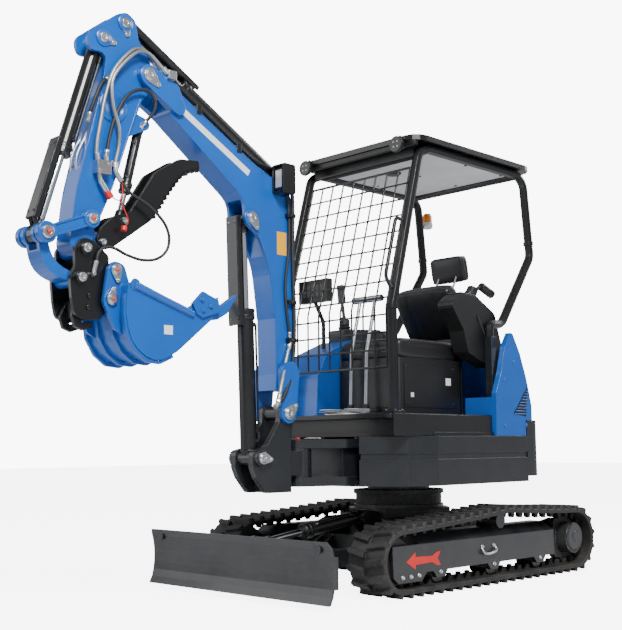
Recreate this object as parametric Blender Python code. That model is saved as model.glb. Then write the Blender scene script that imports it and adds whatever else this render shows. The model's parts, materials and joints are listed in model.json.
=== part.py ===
"""Mini excavator of the two tonne class, built as separate pieces on their joint axes.

The machine faces -Y, its left side is +X and it stands on z = 0.  Sizes are in metres, in the
machine's own frame: y = 0 lies midway between the idler and sprocket axles, x = 0 on the centre
line.  At the end the whole machine is shifted along Y so that its box is centred on the origin.
"""

import bpy
import bmesh
from math import atan2, cos, hypot, pi, radians, sin
from mathutils import Matrix, Vector

# ---------------------------------------------------------------- driving dimensions
GAP = 0.0003              # between fixed pieces that touch
RUN = 0.0006              # side clearance of an eye between its lugs
CLEAR = 0.006             # clearance between moving pieces

# tracks
SHOE = 0.230              # width of a track shoe
TRACK_X = 0.627           # outer face of the tracks
AXLE_Y = 0.750            # idler axle at -AXLE_Y, sprocket axle at +AXLE_Y
IDLER_TURN_R = 0.168      # over the lugs at the idler
SPROCKET_TURN_R = 0.182   # over the lugs at the sprocket
CARRIER_Y = 0.100
CARRIER_TOP = 0.396       # over the lugs above the carrier roller
CARRIER_R = 0.040
LUG = 0.020
BELT = 0.024
LUG_COUNT = 53
ROLLER_R = 0.045
ROLLER_YS = (-0.44, 0.0, 0.42)
WHEEL_IN = 0.458          # wheels stand between these two planes
WHEEL_OUT = 0.562
FRAME_IN = 0.432
FRAME_OUT = 0.585
FRAME_PLATE = 0.018
FRAME_TOP = 0.239
FRAME_RIDGE = 0.283
FRAME_FRONT = -0.795
FRAME_REAR = 0.562
MOTOR_R = 0.085

# carbody and slew ring
SLEW_Y = -0.060
CARBODY_HALF = 0.255
CARBODY_LOW = 0.190
CARBODY_TOP = 0.392
RING_R = 0.235
RING_TOP = 0.470
RING_BORE = 0.170
LEG_TOP = 0.285

# blade
BLADE_HALF = 0.637
BLADE_FACE = -1.2765
BLADE_LOW = 0.027
BLADE_TOP = 0.295
BLADE_SHEET = 0.014
BLADE_DISH = 0.032
BLADE_PIVOT = (-0.470, 0.165)
BLADE_ARM_X = 0.190
BLADE_ARM_HALF = 0.030
BLADE_BASE = (-0.375, 0.335)
BLADE_ROD = (-1.085, 0.245)

# house
HOUSE_LOW = 0.500
DECK = 0.030
SKIRT_TOP = 0.752
SKIRT_RIDGE = 0.635
SKIRT_T = 0.020
HOUSE_HALF = 0.470
HOUSE_REAR = 0.745
TAIL_TOP = 0.840
SKIRT_END = 0.500
FLOOR_TOP = 0.865
FLOOR_T = 0.022
FLOOR_FRONT = -0.620
FLOOR_REAR = 0.212
TANK_FRONT = -0.495
SHELF_TOP = 1.300
SHELF_REAR = 0.300
SEAT_X = 0.030
SEAT_BOX_HALF = 0.220
SEAT_BOX_FRONT = -0.330
SEAT_BOX_REAR = 0.190
SEAT_BOX_TOP = 1.170
CUSHION_T = 0.120

# canopy
POST_X = 0.400
POST_R = 0.025
POST_REAR_Y = 0.6695      # the rear posts' centre line at the beacon, with its clearance
ROOF_HALF = 0.450
ROOF_FRONT = -0.385
ROOF_REAR = 0.690
ROOF_LOW = 2.300
ROOF_T = 0.030

# swing post
SWING_Y = -0.830
SWING_LOW = 0.485
FORK_LOW = (0.507, 0.552)
FORK_HIGH = (0.696, 0.741)
HUB_R = 0.068
CHEEK_IN = 0.048
CHEEK_OUT = 0.080
FOOT_PIN = (-0.985, 0.868)
LIFT_BASE = (-1.160, 0.652)

# boom, arm, linkage and tools: pins in the machine's side plane (y, z)
LIFT_EYE = (-1.200, 1.815)
ELBOW = (-1.830, 2.379)
ARM_BASE = (-0.970, 2.053)
ARM_EYE = (-1.945, 2.601)
CURL_BASE = (-2.058, 2.503)
CURL_EYE = (-2.340, 1.590)
LINK_PIN = (-2.125, 1.676)
TIP_PIN = (-2.158, 1.545)
COUPLER_PIN = (-2.180, 1.418)
BUCKET_PIN_A = (-2.020, 1.462)
BUCKET_PIN_B = (-2.040, 1.335)
THUMB_PIN = (-2.045, 1.590)
THUMB_EYE = (-1.935, 1.700)
THUMB_BASE = (-1.825, 2.160)
BOOM_HALF = 0.066
FORK_HALF = 0.086
ARM_HALF = 0.055
BUCKET_HALF = 0.165
COUPLER_IN = 0.064
COUPLER_OUT = 0.082
PIN_R = 0.019
THUMB_IN = 0.033
THUMB_BASE_IN = 0.026
CYL_BASE_IN = 0.036
LIFT_IN = 0.047
BLADE_CYL_IN = 0.037

# working angles in degrees, each from rest
CONSOLE_PIN = (0.335, 1.165)
CONSOLE_IN = 0.268
CONSOLE_OUT = 0.372
BONNET_PIN = (0.3006, 1.304)


# ---------------------------------------------------------------- materials
def finish(name, colour, metallic, roughness):
    material = bpy.data.materials.new(name)
    material.use_nodes = True
    shader = material.node_tree.nodes["Principled BSDF"]
    shader.inputs["Base Color"].default_value = (*colour, 1.0)
    shader.inputs["Metallic"].default_value = metallic
    shader.inputs["Roughness"].default_value = roughness
    return material


def blue_paint():
    return finish("blue_paint", (0.010, 0.240, 0.800), 0.0, 0.30)


def grey_paint():
    return finish("grey_paint", (0.045, 0.055, 0.065), 0.0, 0.40)


def black_paint():
    return finish("black_paint", (0.012, 0.013, 0.015), 0.0, 0.38)


def bright_steel():
    return finish("bright_steel", (0.620, 0.630, 0.640), 1.0, 0.18)


def cast_steel():
    return finish("cast_steel", (0.090, 0.090, 0.095), 0.8, 0.50)


def track_rubber():
    return finish("track_rubber", (0.030, 0.029, 0.028), 0.0, 0.85)


def black_plastic():
    return finish("black_plastic", (0.018, 0.018, 0.020), 0.0, 0.55)


def seat_vinyl():
    return finish("seat_vinyl", (0.016, 0.016, 0.018), 0.0, 0.45)


def pale_liner():
    return finish("pale_liner", (0.520, 0.500, 0.470), 0.0, 0.75)


def amber_lens():
    return finish("amber_lens", (0.900, 0.350, 0.020), 0.0, 0.25)


# ---------------------------------------------------------------- modelling helpers
def clear_scene():
    for item in list(bpy.data.objects):
        bpy.data.objects.remove(item, do_unlink=True)


def evaluated_mesh(item):
    graph = bpy.context.evaluated_depsgraph_get()
    mesh = bpy.data.meshes.new_from_object(item.evaluated_get(graph))
    mesh.transform(item.matrix_world)
    return mesh


def solid_from(item, weld=0.00002):
    """Turns an object into a plain mesh object in machine coordinates, its seams welded."""
    bpy.context.view_layer.update()
    mesh = evaluated_mesh(item)
    name = item.name
    bpy.data.objects.remove(item, do_unlink=True)
    work = bmesh.new()
    work.from_mesh(mesh)
    bmesh.ops.remove_doubles(work, verts=work.verts, dist=weld)
    bmesh.ops.recalc_face_normals(work, faces=work.faces)
    work.to_mesh(mesh)
    work.free()
    solid = bpy.data.objects.new(name, mesh)
    PIECES.objects.link(solid)
    return solid


def box(low, high):
    bpy.ops.mesh.primitive_cube_add(size=1.0, location=[(a + b) / 2 for a, b in zip(low, high)])
    item = bpy.context.object
    item.scale = [b - a for a, b in zip(low, high)]
    return solid_from(item)


def rod(start, end, radius, sides=18):
    """A round bar between two points."""
    start, end = Vector(start), Vector(end)
    turn = (end - start).to_track_quat("Z", "Y")
    bpy.ops.mesh.primitive_cylinder_add(
        vertices=sides, radius=radius, depth=(end - start).length,
        location=(start + end) / 2, rotation=turn.to_euler())
    return solid_from(bpy.context.object)


def axle(pin, x_from, x_to, radius, sides=18):
    """A round bar across the machine through a pin of the side plane."""
    return rod((x_from, *pin), (x_to, *pin), radius, sides)


def flat(outline, depth, holes=()):
    """A plate of the given outline, lying in XY and centred on z = 0."""
    curve = bpy.data.curves.new("plate", "CURVE")
    curve.dimensions = "2D"
    curve.fill_mode = "BOTH"
    curve.extrude = depth / 2
    for ring in (outline, *holes):
        spline = curve.splines.new("POLY")
        spline.points.add(len(ring) - 1)
        for point, (a, b) in zip(spline.points, ring):
            point.co = (a, b, 0.0, 1.0)
        spline.use_cyclic_u = True
    item = bpy.data.objects.new("plate", curve)
    PIECES.objects.link(item)
    return item


def side_plate(outline, x_from, x_to, holes=()):
    """A plate whose outline is drawn in the side plane (y, z)."""
    item = flat(outline, x_to - x_from, holes)
    item.location = ((x_from + x_to) / 2, 0.0, 0.0)
    item.rotation_euler = (pi / 2, 0.0, pi / 2)
    return solid_from(item)


def plan_plate(outline, z_from, z_to, holes=()):
    """A plate whose outline is drawn from above (x, y)."""
    item = flat(outline, z_to - z_from, holes)
    item.location = (0.0, 0.0, (z_from + z_to) / 2)
    return solid_from(item)


def front_plate(outline, y_from, y_to, holes=()):
    """A plate whose outline is drawn from the front (x, z)."""
    item = flat(outline, y_to - y_from, holes)
    item.location = (0.0, (y_from + y_to) / 2, 0.0)
    item.rotation_euler = (pi / 2, 0.0, 0.0)
    return solid_from(item)


def tube(points, radius, sides=3):
    """A bent round tube through points, which are already rounded at the bends."""
    curve = bpy.data.curves.new("tube", "CURVE")
    curve.dimensions = "3D"
    curve.bevel_depth = radius
    curve.bevel_resolution = sides
    curve.use_fill_caps = True
    spline = curve.splines.new("POLY")
    spline.points.add(len(points) - 1)
    for point, place in zip(spline.points, points):
        point.co = (*place, 1.0)
    item = bpy.data.objects.new("tube", curve)
    PIECES.objects.link(item)
    return solid_from(item)


def boolean(first, others, operation):
    """Joins or cuts a solid with others in one exact step."""
    group = bpy.data.collections.new("tools")
    bpy.context.scene.collection.children.link(group)
    for other in others:
        PIECES.objects.unlink(other)
        group.objects.link(other)
    step = first.modifiers.new(operation.lower(), "BOOLEAN")
    step.operation = operation
    step.solver = "EXACT"
    step.operand_type = "COLLECTION"
    step.collection = group
    solid = solid_from(first, 0.000002)
    for other in others:
        bpy.data.objects.remove(other, do_unlink=True)
    bpy.data.collections.remove(group)
    return solid


def join(first, *others):
    return boolean(first, others, "UNION")


def cut(first, *others):
    return boolean(first, others, "DIFFERENCE")


def mirrored(solid):
    """The same solid on the other side of the machine."""
    mesh = solid.data.copy()
    mesh.transform(Matrix.Scale(-1.0, 4, (1.0, 0.0, 0.0)))
    mesh.flip_normals()
    twin = bpy.data.objects.new("twin", mesh)
    PIECES.objects.link(twin)
    return twin


def rounded(corners, steps=3):
    """An outline whose corners (a, b, radius) are filleted with arcs."""
    ring = []
    count = len(corners)
    for index, corner in enumerate(corners):
        here = Vector(corner[:2])
        radius = corner[2] if len(corner) > 2 else 0.0
        if radius <= 0.0:
            ring.append((here.x, here.y))
            continue
        back = (Vector(corners[index - 1][:2]) - here).normalized()
        ahead = (Vector(corners[(index + 1) % count][:2]) - here).normalized()
        half = back.angle(ahead) / 2
        centre = here + (back + ahead).normalized() * radius / sin(half)
        first = here + back * radius / (sin(half) / cos(half)) - centre
        last = here + ahead * radius / (sin(half) / cos(half)) - centre
        start = atan2(first.y, first.x)
        sweep = atan2(last.y, last.x) - start
        sweep = (sweep + pi) % (2 * pi) - pi
        for step in range(steps + 1):
            angle = start + sweep * step / steps
            ring.append((centre.x + radius * cos(angle), centre.y + radius * sin(angle)))
    return ring


def hull(circles, steps=48):
    """The outline of a band pulled round circles (a, b, radius)."""
    ring = []
    for step in range(steps):
        angle = 2 * pi * step / steps
        ahead = (cos(angle), sin(angle))
        far = max(circles, key=lambda c: c[0] * ahead[0] + c[1] * ahead[1] + c[2])
        ring.append((far[0] + far[2] * ahead[0], far[1] + far[2] * ahead[1]))
    return ring


def bent(points, radius, steps=3):
    """A 3D path through points whose inner corners are rounded."""
    points = [Vector(p) for p in points]
    path = [points[0]]
    for before, here, after in zip(points, points[1:], points[2:]):
        back = (before - here).normalized()
        ahead = (after - here).normalized()
        half = back.angle(ahead) / 2
        reach = min(radius / (sin(half) / cos(half)),
                    0.45 * (before - here).length, 0.45 * (after - here).length)
        for step in range(steps + 1):
            share = step / steps
            first = here + back * reach * (1 - share)
            last = here + ahead * reach * share
            path.append(first * (1 - share) + last * share)
    path.append(points[-1])
    return path


def between(start, end, share):
    return tuple(a + (b - a) * share for a, b in zip(start, end))


def reach_of(start, end):
    return hypot(end[0] - start[0], end[1] - start[1])


# ---------------------------------------------------------------- assembly helpers
AXES = {}


def pivot(name, place, parent=None):
    """An empty on a joint axis; its children move with it."""
    item = bpy.data.objects.new("axis_" + name, None)
    GUIDES.objects.link(item)
    here = Vector(place)
    if parent is not None:
        item.parent = AXES[parent][0]
        item.location = here - AXES[parent][1]
    else:
        item.location = here
    AXES[name] = (item, here)


def part(name, solid, axis, material):
    """Names a finished solid, hangs it on its axis and gives it its finish."""
    item, here = AXES[axis]
    solid.name = name
    solid.data.name = name
    solid.data.transform(Matrix.Translation(-here))
    solid.parent = item
    solid.data.materials.clear()
    solid.data.materials.append(material)
    solid.data.shade_smooth()
    solid.data.set_sharp_from_angle(angle=radians(35))
    return solid


# ---------------------------------------------------------------- undercarriage
def track_ring(offset):
    """The band round idler, sprocket and carrier roller, drawn in by an offset."""
    return [(-AXLE_Y, IDLER_TURN_R, IDLER_TURN_R - offset),
            (AXLE_Y, SPROCKET_TURN_R, SPROCKET_TURN_R - offset),
            (CARRIER_Y, CARRIER_TOP - LUG - BELT - CARRIER_R, CARRIER_R + LUG + BELT - offset)]


def walk(ring, count):
    """Points at equal steps along a closed ring."""
    closed = ring + [ring[0]]
    spans = [hypot(b[0] - a[0], b[1] - a[1]) for a, b in zip(closed, closed[1:])]
    total = sum(spans)
    points = []
    index, passed = 0, 0.0
    for step in range(count):
        goal = total * step / count
        while passed + spans[index] < goal:
            passed += spans[index]
            index += 1
        share = (goal - passed) / spans[index]
        points.append(between(closed[index], closed[index + 1], share))
    return points


def track():
    """A rubber track as one loop, its lugs standing on the outside of the belt."""
    tips = walk(hull(track_ring(0.0), 240), LUG_COUNT * 5)
    roots = walk(hull(track_ring(LUG), 240), LUG_COUNT * 5)
    outline = []
    for lug in range(LUG_COUNT):
        first = lug * 5
        outline += [roots[first], tips[first + 1], tips[first + 3], roots[first + 4]]
    bore = hull(track_ring(LUG + BELT), 48)
    return side_plate(outline, TRACK_X - SHOE, TRACK_X, [bore])


def idler():
    """A flanged front wheel on its axle."""
    radius = IDLER_TURN_R - LUG - BELT - 0.001
    centre = (-AXLE_Y, IDLER_TURN_R)
    middle = (WHEEL_IN + WHEEL_OUT) / 2
    wheel = axle(centre, WHEEL_IN, WHEEL_OUT, radius - 0.014, 26)
    flange = axle(centre, middle - 0.022, middle + 0.022, radius, 26)
    shaft = axle(centre, FRAME_IN + FRAME_PLATE + GAP, FRAME_OUT - FRAME_PLATE - GAP, 0.028)
    return join(wheel, flange, shaft)


def sprocket():
    """The drive sprocket with its hub and the round cover of the travel motor."""
    radius = SPROCKET_TURN_R - LUG - BELT - 0.001
    centre = Vector((AXLE_Y, SPROCKET_TURN_R))
    teeth = 11
    outline = []
    for step in range(teeth * 6):
        angle = 2 * pi * step / (teeth * 6)
        deep = radius - 0.018 * (0.5 - 0.5 * cos(angle * teeth))
        outline.append((centre.x + deep * cos(angle), centre.y + deep * sin(angle)))
    middle = (WHEEL_IN + WHEEL_OUT) / 2
    wheel = side_plate(outline, middle - 0.018, middle + 0.018)
    hub = axle(centre, FRAME_IN + FRAME_PLATE + GAP, FRAME_OUT + 0.012, MOTOR_R, 36)
    return join(wheel, hub)


def track_frame():
    """The side beam with its rollers, idler fork and motor plate, made as one welding."""
    low = 0.072
    notch = 0.105
    skirt = [(FRAME_FRONT, FRAME_TOP), (FRAME_FRONT + 0.006, low + 0.022),
             (FRAME_FRONT + 0.040, low - 0.006), (-0.585, low - 0.006), (-0.545, notch)]
    for place in ROLLER_YS:
        skirt += [(place - 0.055, notch), (place - 0.030, low), (place + 0.030, low),
                  (place + 0.055, notch)]
    skirt += [(FRAME_REAR, notch), (FRAME_REAR, FRAME_TOP)]
    outer = side_plate(skirt, FRAME_OUT - FRAME_PLATE, FRAME_OUT)
    beam = box((FRAME_IN, -0.600, notch + 0.003), (FRAME_OUT - FRAME_PLATE / 2,
                                                 FRAME_REAR - 0.003, FRAME_TOP - 0.002))
    ridge = front_plate([(FRAME_IN + 0.004, FRAME_TOP - 0.02),
                         (FRAME_OUT - 0.002, FRAME_TOP - 0.02), (FRAME_OUT - 0.002, FRAME_TOP),
                         (FRAME_OUT - 0.060, FRAME_RIDGE), (FRAME_IN + 0.004, FRAME_RIDGE)],
                        -0.595, FRAME_REAR - 0.006)
    fork = box((FRAME_IN + 0.001, FRAME_FRONT, 0.112), (FRAME_IN + FRAME_PLATE, -0.590, 0.225))
    motor = (AXLE_Y, SPROCKET_TURN_R)
    plate = side_plate(hull([(*motor, 0.105), (0.50, 0.182, 0.070)], 26),
                       FRAME_IN + 0.002, FRAME_IN + FRAME_PLATE - 0.001)
    housing = axle(motor, FRAME_IN - 0.085, FRAME_IN + 0.004, 0.078, 20)
    solid = join(outer, beam, ridge, fork, plate, housing)
    rollers = [axle((place, LUG + BELT + 0.001 + ROLLER_R), WHEEL_IN, WHEEL_OUT, ROLLER_R)
               for place in ROLLER_YS]
    carrier_z = CARRIER_TOP - LUG - BELT - CARRIER_R - 0.001
    carrier = axle((CARRIER_Y, carrier_z), WHEEL_IN, WHEEL_OUT, CARRIER_R)
    bracket = side_plate([(CARRIER_Y - 0.060, FRAME_RIDGE - 0.01),
                          (CARRIER_Y + 0.060, FRAME_RIDGE - 0.01),
                          (CARRIER_Y + 0.022, carrier_z + 0.018),
                          (CARRIER_Y - 0.022, carrier_z + 0.018)],
                         FRAME_IN + 0.006, WHEEL_IN + 0.004)
    return join(solid, *rollers, carrier, bracket)


def carbody():
    """The centre box under the slew ring, with four legs out to the track frames."""
    half = CARBODY_HALF
    octagon = [(half * a, SLEW_Y + half * b) for a, b in
               ((-0.5, -1), (0.5, -1), (1, -0.5), (1, 0.5), (0.5, 1), (-0.5, 1), (-1, 0.5),
                (-1, -0.5))]
    centre = plan_plate(octagon, CARBODY_LOW, CARBODY_TOP - 0.02)
    seat = rod((0, SLEW_Y, CARBODY_TOP - 0.04), (0, SLEW_Y, CARBODY_TOP), RING_R + 0.010, 36)
    legs = []
    for side in (-1, 1):
        for low, high in ((-0.430, -0.190), (0.060, 0.300)):
            leg = front_plate([(side * 0.20, CARBODY_LOW), (side * (FRAME_IN - GAP), 0.120),
                               (side * (FRAME_IN - GAP), 0.235), (side * 0.20, LEG_TOP + 0.05)],
                              low, high)
            legs.append(leg)
    nose = box((-0.26, BLADE_PIVOT[0] + 0.044, 0.130), (0.26, -0.250, 0.240))
    lugs = []
    for side in (-1, 1):
        for offset in (-BLADE_ARM_HALF - RUN - 0.018, BLADE_ARM_HALF + RUN):
            x_from = side * BLADE_ARM_X + offset
            lugs.append(side_plate(hull([(*BLADE_PIVOT, 0.042), (-0.40, 0.185, 0.055)], 20),
                                   x_from, x_from + 0.018))
    for side in (-1, 1):
        x_from = side * (BLADE_CYL_IN + 0.010) - 0.010
        lugs.append(side_plate(hull([(*BLADE_BASE, 0.034), (-0.29, 0.300, 0.060)], 20),
                               x_from, x_from + 0.020))
    return join(centre, seat, *legs, nose, *lugs)


def slew_ring():
    """The toothed bearing ring, fixed on the carbody and open in the middle."""
    ring = rod((0, SLEW_Y, CARBODY_TOP + GAP), (0, SLEW_Y, RING_TOP), RING_R, 36)
    lip = rod((0, SLEW_Y, RING_TOP - 0.022), (0, SLEW_Y, RING_TOP), RING_R + 0.012, 36)
    bore = rod((0, SLEW_Y, CARBODY_TOP - 0.05), (0, SLEW_Y, RING_TOP + 0.05), RING_BORE, 36)
    return cut(join(ring, lip), bore)


# ---------------------------------------------------------------- blade
def blade():
    """The dished dozer blade with its two push arms and cylinder lugs."""
    height = BLADE_TOP - BLADE_LOW
    steps = 8
    front, back = [], []
    for step in range(steps + 1):
        share = step / steps
        dish = BLADE_DISH * sin(pi * share) ** 0.6 if 0 < share < 1 else 0.0
        front.append((BLADE_FACE + dish, BLADE_LOW + height * share))
        back.append((BLADE_FACE + dish + BLADE_SHEET, BLADE_LOW + height * share))
    sheet = side_plate(front + back[::-1], -BLADE_HALF, BLADE_HALF)
    corner = 0.045
    notches = [front_plate([(side * (BLADE_HALF + 0.01), BLADE_TOP + 0.01),
                            (side * (BLADE_HALF + 0.01), BLADE_TOP - corner),
                            (side * (BLADE_HALF - corner / 2), BLADE_TOP + 0.01)],
                           BLADE_FACE - 0.05, BLADE_FACE + 0.10) for side in (-1, 1)]
    sheet = cut(sheet, *notches)
    spine = box((-BLADE_HALF + 0.03, BLADE_FACE + BLADE_DISH, 0.085),
                (BLADE_HALF - 0.03, BLADE_FACE + 0.095, 0.225))
    solid = join(sheet, spine)
    arms = []
    for side in (-1, 1):
        x_low = side * BLADE_ARM_X - BLADE_ARM_HALF
        outline = [(BLADE_FACE + 0.08, 0.100), (-0.90, 0.115), (-0.55, 0.120),
                   (BLADE_PIVOT[0], BLADE_PIVOT[1] - 0.038),
                   (BLADE_PIVOT[0] + 0.027, BLADE_PIVOT[1] - 0.027),
                   (BLADE_PIVOT[0] + 0.038, BLADE_PIVOT[1]),
                   (BLADE_PIVOT[0] + 0.027, BLADE_PIVOT[1] + 0.027),
                   (BLADE_PIVOT[0], BLADE_PIVOT[1] + 0.038), (-0.60, 0.200), (-0.95, 0.205),
                   (BLADE_FACE + 0.08, 0.215)]
        arms.append(side_plate(outline, x_low, x_low + 2 * BLADE_ARM_HALF))
    tie = box((-BLADE_ARM_X, -0.800, 0.120), (BLADE_ARM_X, -0.730, 0.185))
    lugs = []
    for side in (-1, 1):
        x_from = side * (BLADE_CYL_IN + 0.010) - 0.010
        lugs.append(side_plate(hull([(*BLADE_ROD, 0.034), (BLADE_FACE + 0.085, 0.225, 0.025),
                                     (BLADE_FACE + 0.085, 0.150, 0.040)], 20),
                               x_from, x_from + 0.020))
    return join(solid, *arms, tie, *lugs)


def cylinder_barrel(base, eye, length, radius, bore, depth, half, x=0.0):
    """A cylinder's closed end: base eye, barrel and gland, bored from its mouth."""
    total = reach_of(base, eye)
    mouth = between(base, eye, length / total)
    root = between(base, eye, radius * 0.5 / total)
    gland = between(base, eye, (length - 0.050) / total)
    body = rod((x, *root), (x, *mouth), radius, 20)
    collar = rod((x, *gland), (x, *mouth), radius + 0.005, 20)
    boss = axle(base, x - half, x + half, radius * 0.95, 20)
    solid = join(body, collar, boss)
    past = between(base, eye, (length + 0.010) / total)
    end = between(base, eye, (length - depth) / total)
    return cut(solid, rod((x, *end), (x, *past), bore, 20))


def cylinder_rod(base, eye, start, radius, eye_r, half, x=0.0):
    """A cylinder's rod, from its end inside the barrel to its eye."""
    total = reach_of(base, eye)
    foot = between(base, eye, start / total)
    neck = between(base, eye, 1 - eye_r * 0.5 / total)
    shaft = rod((x, *foot), (x, *neck), radius, 20)
    boss = axle(eye, x - half, x + half, eye_r, 20)
    return join(shaft, boss)


def guard(base, eye, start, end, lift, half, thick):
    """A folded channel over a rod, with the bracket that holds it at the rod's eye."""
    total = reach_of(base, eye)
    ahead = Vector((0.0, (eye[0] - base[0]) / total, (eye[1] - base[1]) / total))
    side = Vector((0.0, -ahead.z, ahead.y)) * (1 if lift > 0 else -1)
    rise = abs(lift)
    lip = 0.022
    channel = [(-half, rise - lip), (-half + thick, rise - lip), (-half + thick, rise),
               (half - thick, rise), (half - thick, rise - lip), (half, rise - lip),
               (half, rise + thick), (-half, rise + thick)]
    item = flat(channel, end - start)
    along = Vector((1.0, 0.0, 0.0)).cross(side)
    middle = Vector((0.0, *base)) + ahead * (start + end) / 2
    item.matrix_world = Matrix.Translation(middle) @ Matrix(
        (Vector((1.0, 0.0, 0.0)), side, along)).transposed().to_4x4()
    cover = solid_from(item)
    hold = min(end, total) - 0.018
    spot = Vector((0.0, *base)) + ahead * hold + side * (rise - 0.010)
    foot = Vector((0.0, *base)) + ahead * (total - 0.004)
    outline = hull([(foot.y, foot.z, 0.016), (spot.y, spot.z, 0.014)], 24)
    return [cover, side_plate(outline, -half * 0.55, half * 0.55)]


CYLINDERS = {
    # name: base pin, eye, barrel length, barrel radius, rod radius, bore depth, rod's inner end
    "blade": (BLADE_BASE, BLADE_ROD, 0.430, 0.034, 0.018, 0.330, 0.200),
    "boom": (LIFT_BASE, LIFT_EYE, 0.720, 0.041, 0.020, 0.660, 0.420),
    "arm": (ARM_BASE, ARM_EYE, 0.720, 0.036, 0.019, 0.660, 0.640),
    "bucket": (CURL_BASE, CURL_EYE, 0.575, 0.033, 0.017, 0.515, 0.400),
    "thumb": (THUMB_BASE, THUMB_EYE, 0.330, 0.022, 0.013, 0.280, 0.080),
}


def cylinder(name, base_half, eye_half, eye_r, guards=()):
    """Both halves of a cylinder, each on its own axis."""
    base, eye, length, radius, rod_r, depth, start = CYLINDERS[name]
    barrel = cylinder_barrel(base, eye, length, radius, rod_r + 0.0008, depth, base_half)
    shaft = cylinder_rod(base, eye, start, rod_r, eye_r, eye_half)
    if guards:
        shaft = join(shaft, *guards)
    part(name + "_cylinder_barrel", barrel, name + "_cylinder_barrel", BLACK)
    part(name + "_cylinder_rod", shaft, name + "_cylinder_rod", STEEL)


# ---------------------------------------------------------------- house
def house_outline(inset):
    """The house from above, from the front corners round the tail."""
    half = HOUSE_HALF - inset
    rear = HOUSE_REAR - inset
    corners = [(-half, -0.300), (-0.430 + inset, -0.480 + inset), (-0.200, -0.600 + inset),
               (0.200, -0.600 + inset), (0.430 - inset, -0.480 + inset), (half, -0.300),
               (half, 0.470, 0.25), (0.300, rear, 0.25), (-0.300, rear, 0.25),
               (-half, 0.470, 0.25)]
    return rounded(corners, 4)


def house_frame():
    """The deck with its bearing boss, and the fork that carries the swing post."""
    deck = plan_plate(house_outline(SKIRT_T + 0.004), HOUSE_LOW, HOUSE_LOW + DECK)
    boss = rod((0, SLEW_Y, RING_TOP - 0.040), (0, SLEW_Y, HOUSE_LOW + 0.01),
               RING_BORE - 0.0006, 36)
    solid = join(deck, boss)
    nose = []
    for low, high in (FORK_LOW, FORK_HIGH):
        outline = hull([(0, SWING_Y, HUB_R), (-0.10, -0.630, 0.060), (0.10, -0.630, 0.060),
                        (-0.13, -0.520, 0.030), (0.13, -0.520, 0.030)], 26)
        nose.append(plan_plate(outline, low, high))
    web = box((-0.130, -0.640, HOUSE_LOW + 0.008), (0.130, -0.520, FORK_HIGH[1] - 0.004))
    rails = [box((side - 0.010, -0.530, HOUSE_LOW + 0.02), (side + 0.010, 0.240, SKIRT_TOP))
             for side in (-0.120, 0.120)]
    rails += [box((side * 0.407 - 0.022, 0.250, HOUSE_LOW + 0.01),
                  (side * 0.407 + 0.022, 0.300, SHELF_TOP)) for side in (-1, 1)]
    return join(solid, *nose, web, *rails)


def skirt(side):
    """One side panel of the house, with the pressed ridge along its middle."""
    outer, inner = [], []
    half = HOUSE_HALF
    path = [(0.215, -0.600), (0.430, -0.480), (half, -0.300), (half, SKIRT_END)]
    inner_path = [(0.215, -0.600 + SKIRT_T * 1.2), (0.430 - SKIRT_T, -0.480 + SKIRT_T),
                  (half - SKIRT_T, -0.300), (half - SKIRT_T, SKIRT_END)]
    outer = plan_plate(path + inner_path[::-1], HOUSE_LOW + 0.002, SKIRT_TOP)
    bulge = 0.010
    rib_path = [(0.215, -0.600 - bulge), (0.430 + bulge / 2, -0.480 - bulge),
                (half + bulge, -0.300 - bulge / 4), (half + bulge, SKIRT_END - 0.002)]
    rib = plan_plate(rib_path + [(a, b) for a, b in path[::-1]], HOUSE_LOW + 0.002,
                     SKIRT_RIDGE)
    band = plan_plate(rib_path + [(a, b) for a, b in path[::-1]], SKIRT_RIDGE + 0.030,
                      SKIRT_TOP)
    for extra in (rib, band):
        extra.data.transform(Matrix.Translation((-0.002, 0.001, 0)))
    solid = join(outer, rib, band)
    return solid if side > 0 else swap(solid)


def swap(solid):
    twin = mirrored(solid)
    bpy.data.objects.remove(solid, do_unlink=True)
    return twin


def counterweight():
    """The cast tail behind the skirts."""
    rear = HOUSE_REAR
    outline = rounded([(HOUSE_HALF + 0.006, SKIRT_END + 0.002), (HOUSE_HALF + 0.006, 0.600, 0.10),
                       (0.330, rear, 0.20), (-0.330, rear, 0.20),
                       (-HOUSE_HALF - 0.006, 0.600, 0.10),
                       (-HOUSE_HALF - 0.006, SKIRT_END + 0.002)], 6)
    return plan_plate(outline, HOUSE_LOW + DECK + GAP, TAIL_TOP)


def engine_block():
    return box((-0.255, 0.252, HOUSE_LOW + DECK + GAP), (0.255, SKIRT_END - 0.004, 0.900))


def floor_plate():
    """The operator's floor, on a folded front panel."""
    outline = rounded([(-0.440, FLOOR_FRONT, 0.03), (0.440, FLOOR_FRONT, 0.03),
                       (0.440, FLOOR_REAR), (-0.195, FLOOR_REAR), (-0.195, TANK_FRONT - 0.004),
                       (-0.440, TANK_FRONT - 0.004)], 3)
    plate = plan_plate(outline, FLOOR_TOP - FLOOR_T, FLOOR_TOP)
    riser = box((-0.425, FLOOR_FRONT + 0.068, SKIRT_TOP + 0.002),
                (0.425, FLOOR_FRONT + 0.085, FLOOR_TOP - FLOOR_T / 2))
    sill = plan_plate([(-0.190, FLOOR_FRONT + 0.065), (0.250, FLOOR_FRONT + 0.065),
                       (0.400, -0.465), (0.455, -0.300), (0.455, FLOOR_REAR),
                       (-0.190, FLOOR_REAR)], SKIRT_TOP + GAP, SKIRT_TOP + 0.020)
    wall = box((0.420, -0.400, SKIRT_TOP + 0.010),
               (0.436, FLOOR_REAR, FLOOR_TOP - FLOOR_T / 2))
    return join(plate, riser, sill, wall)


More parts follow.
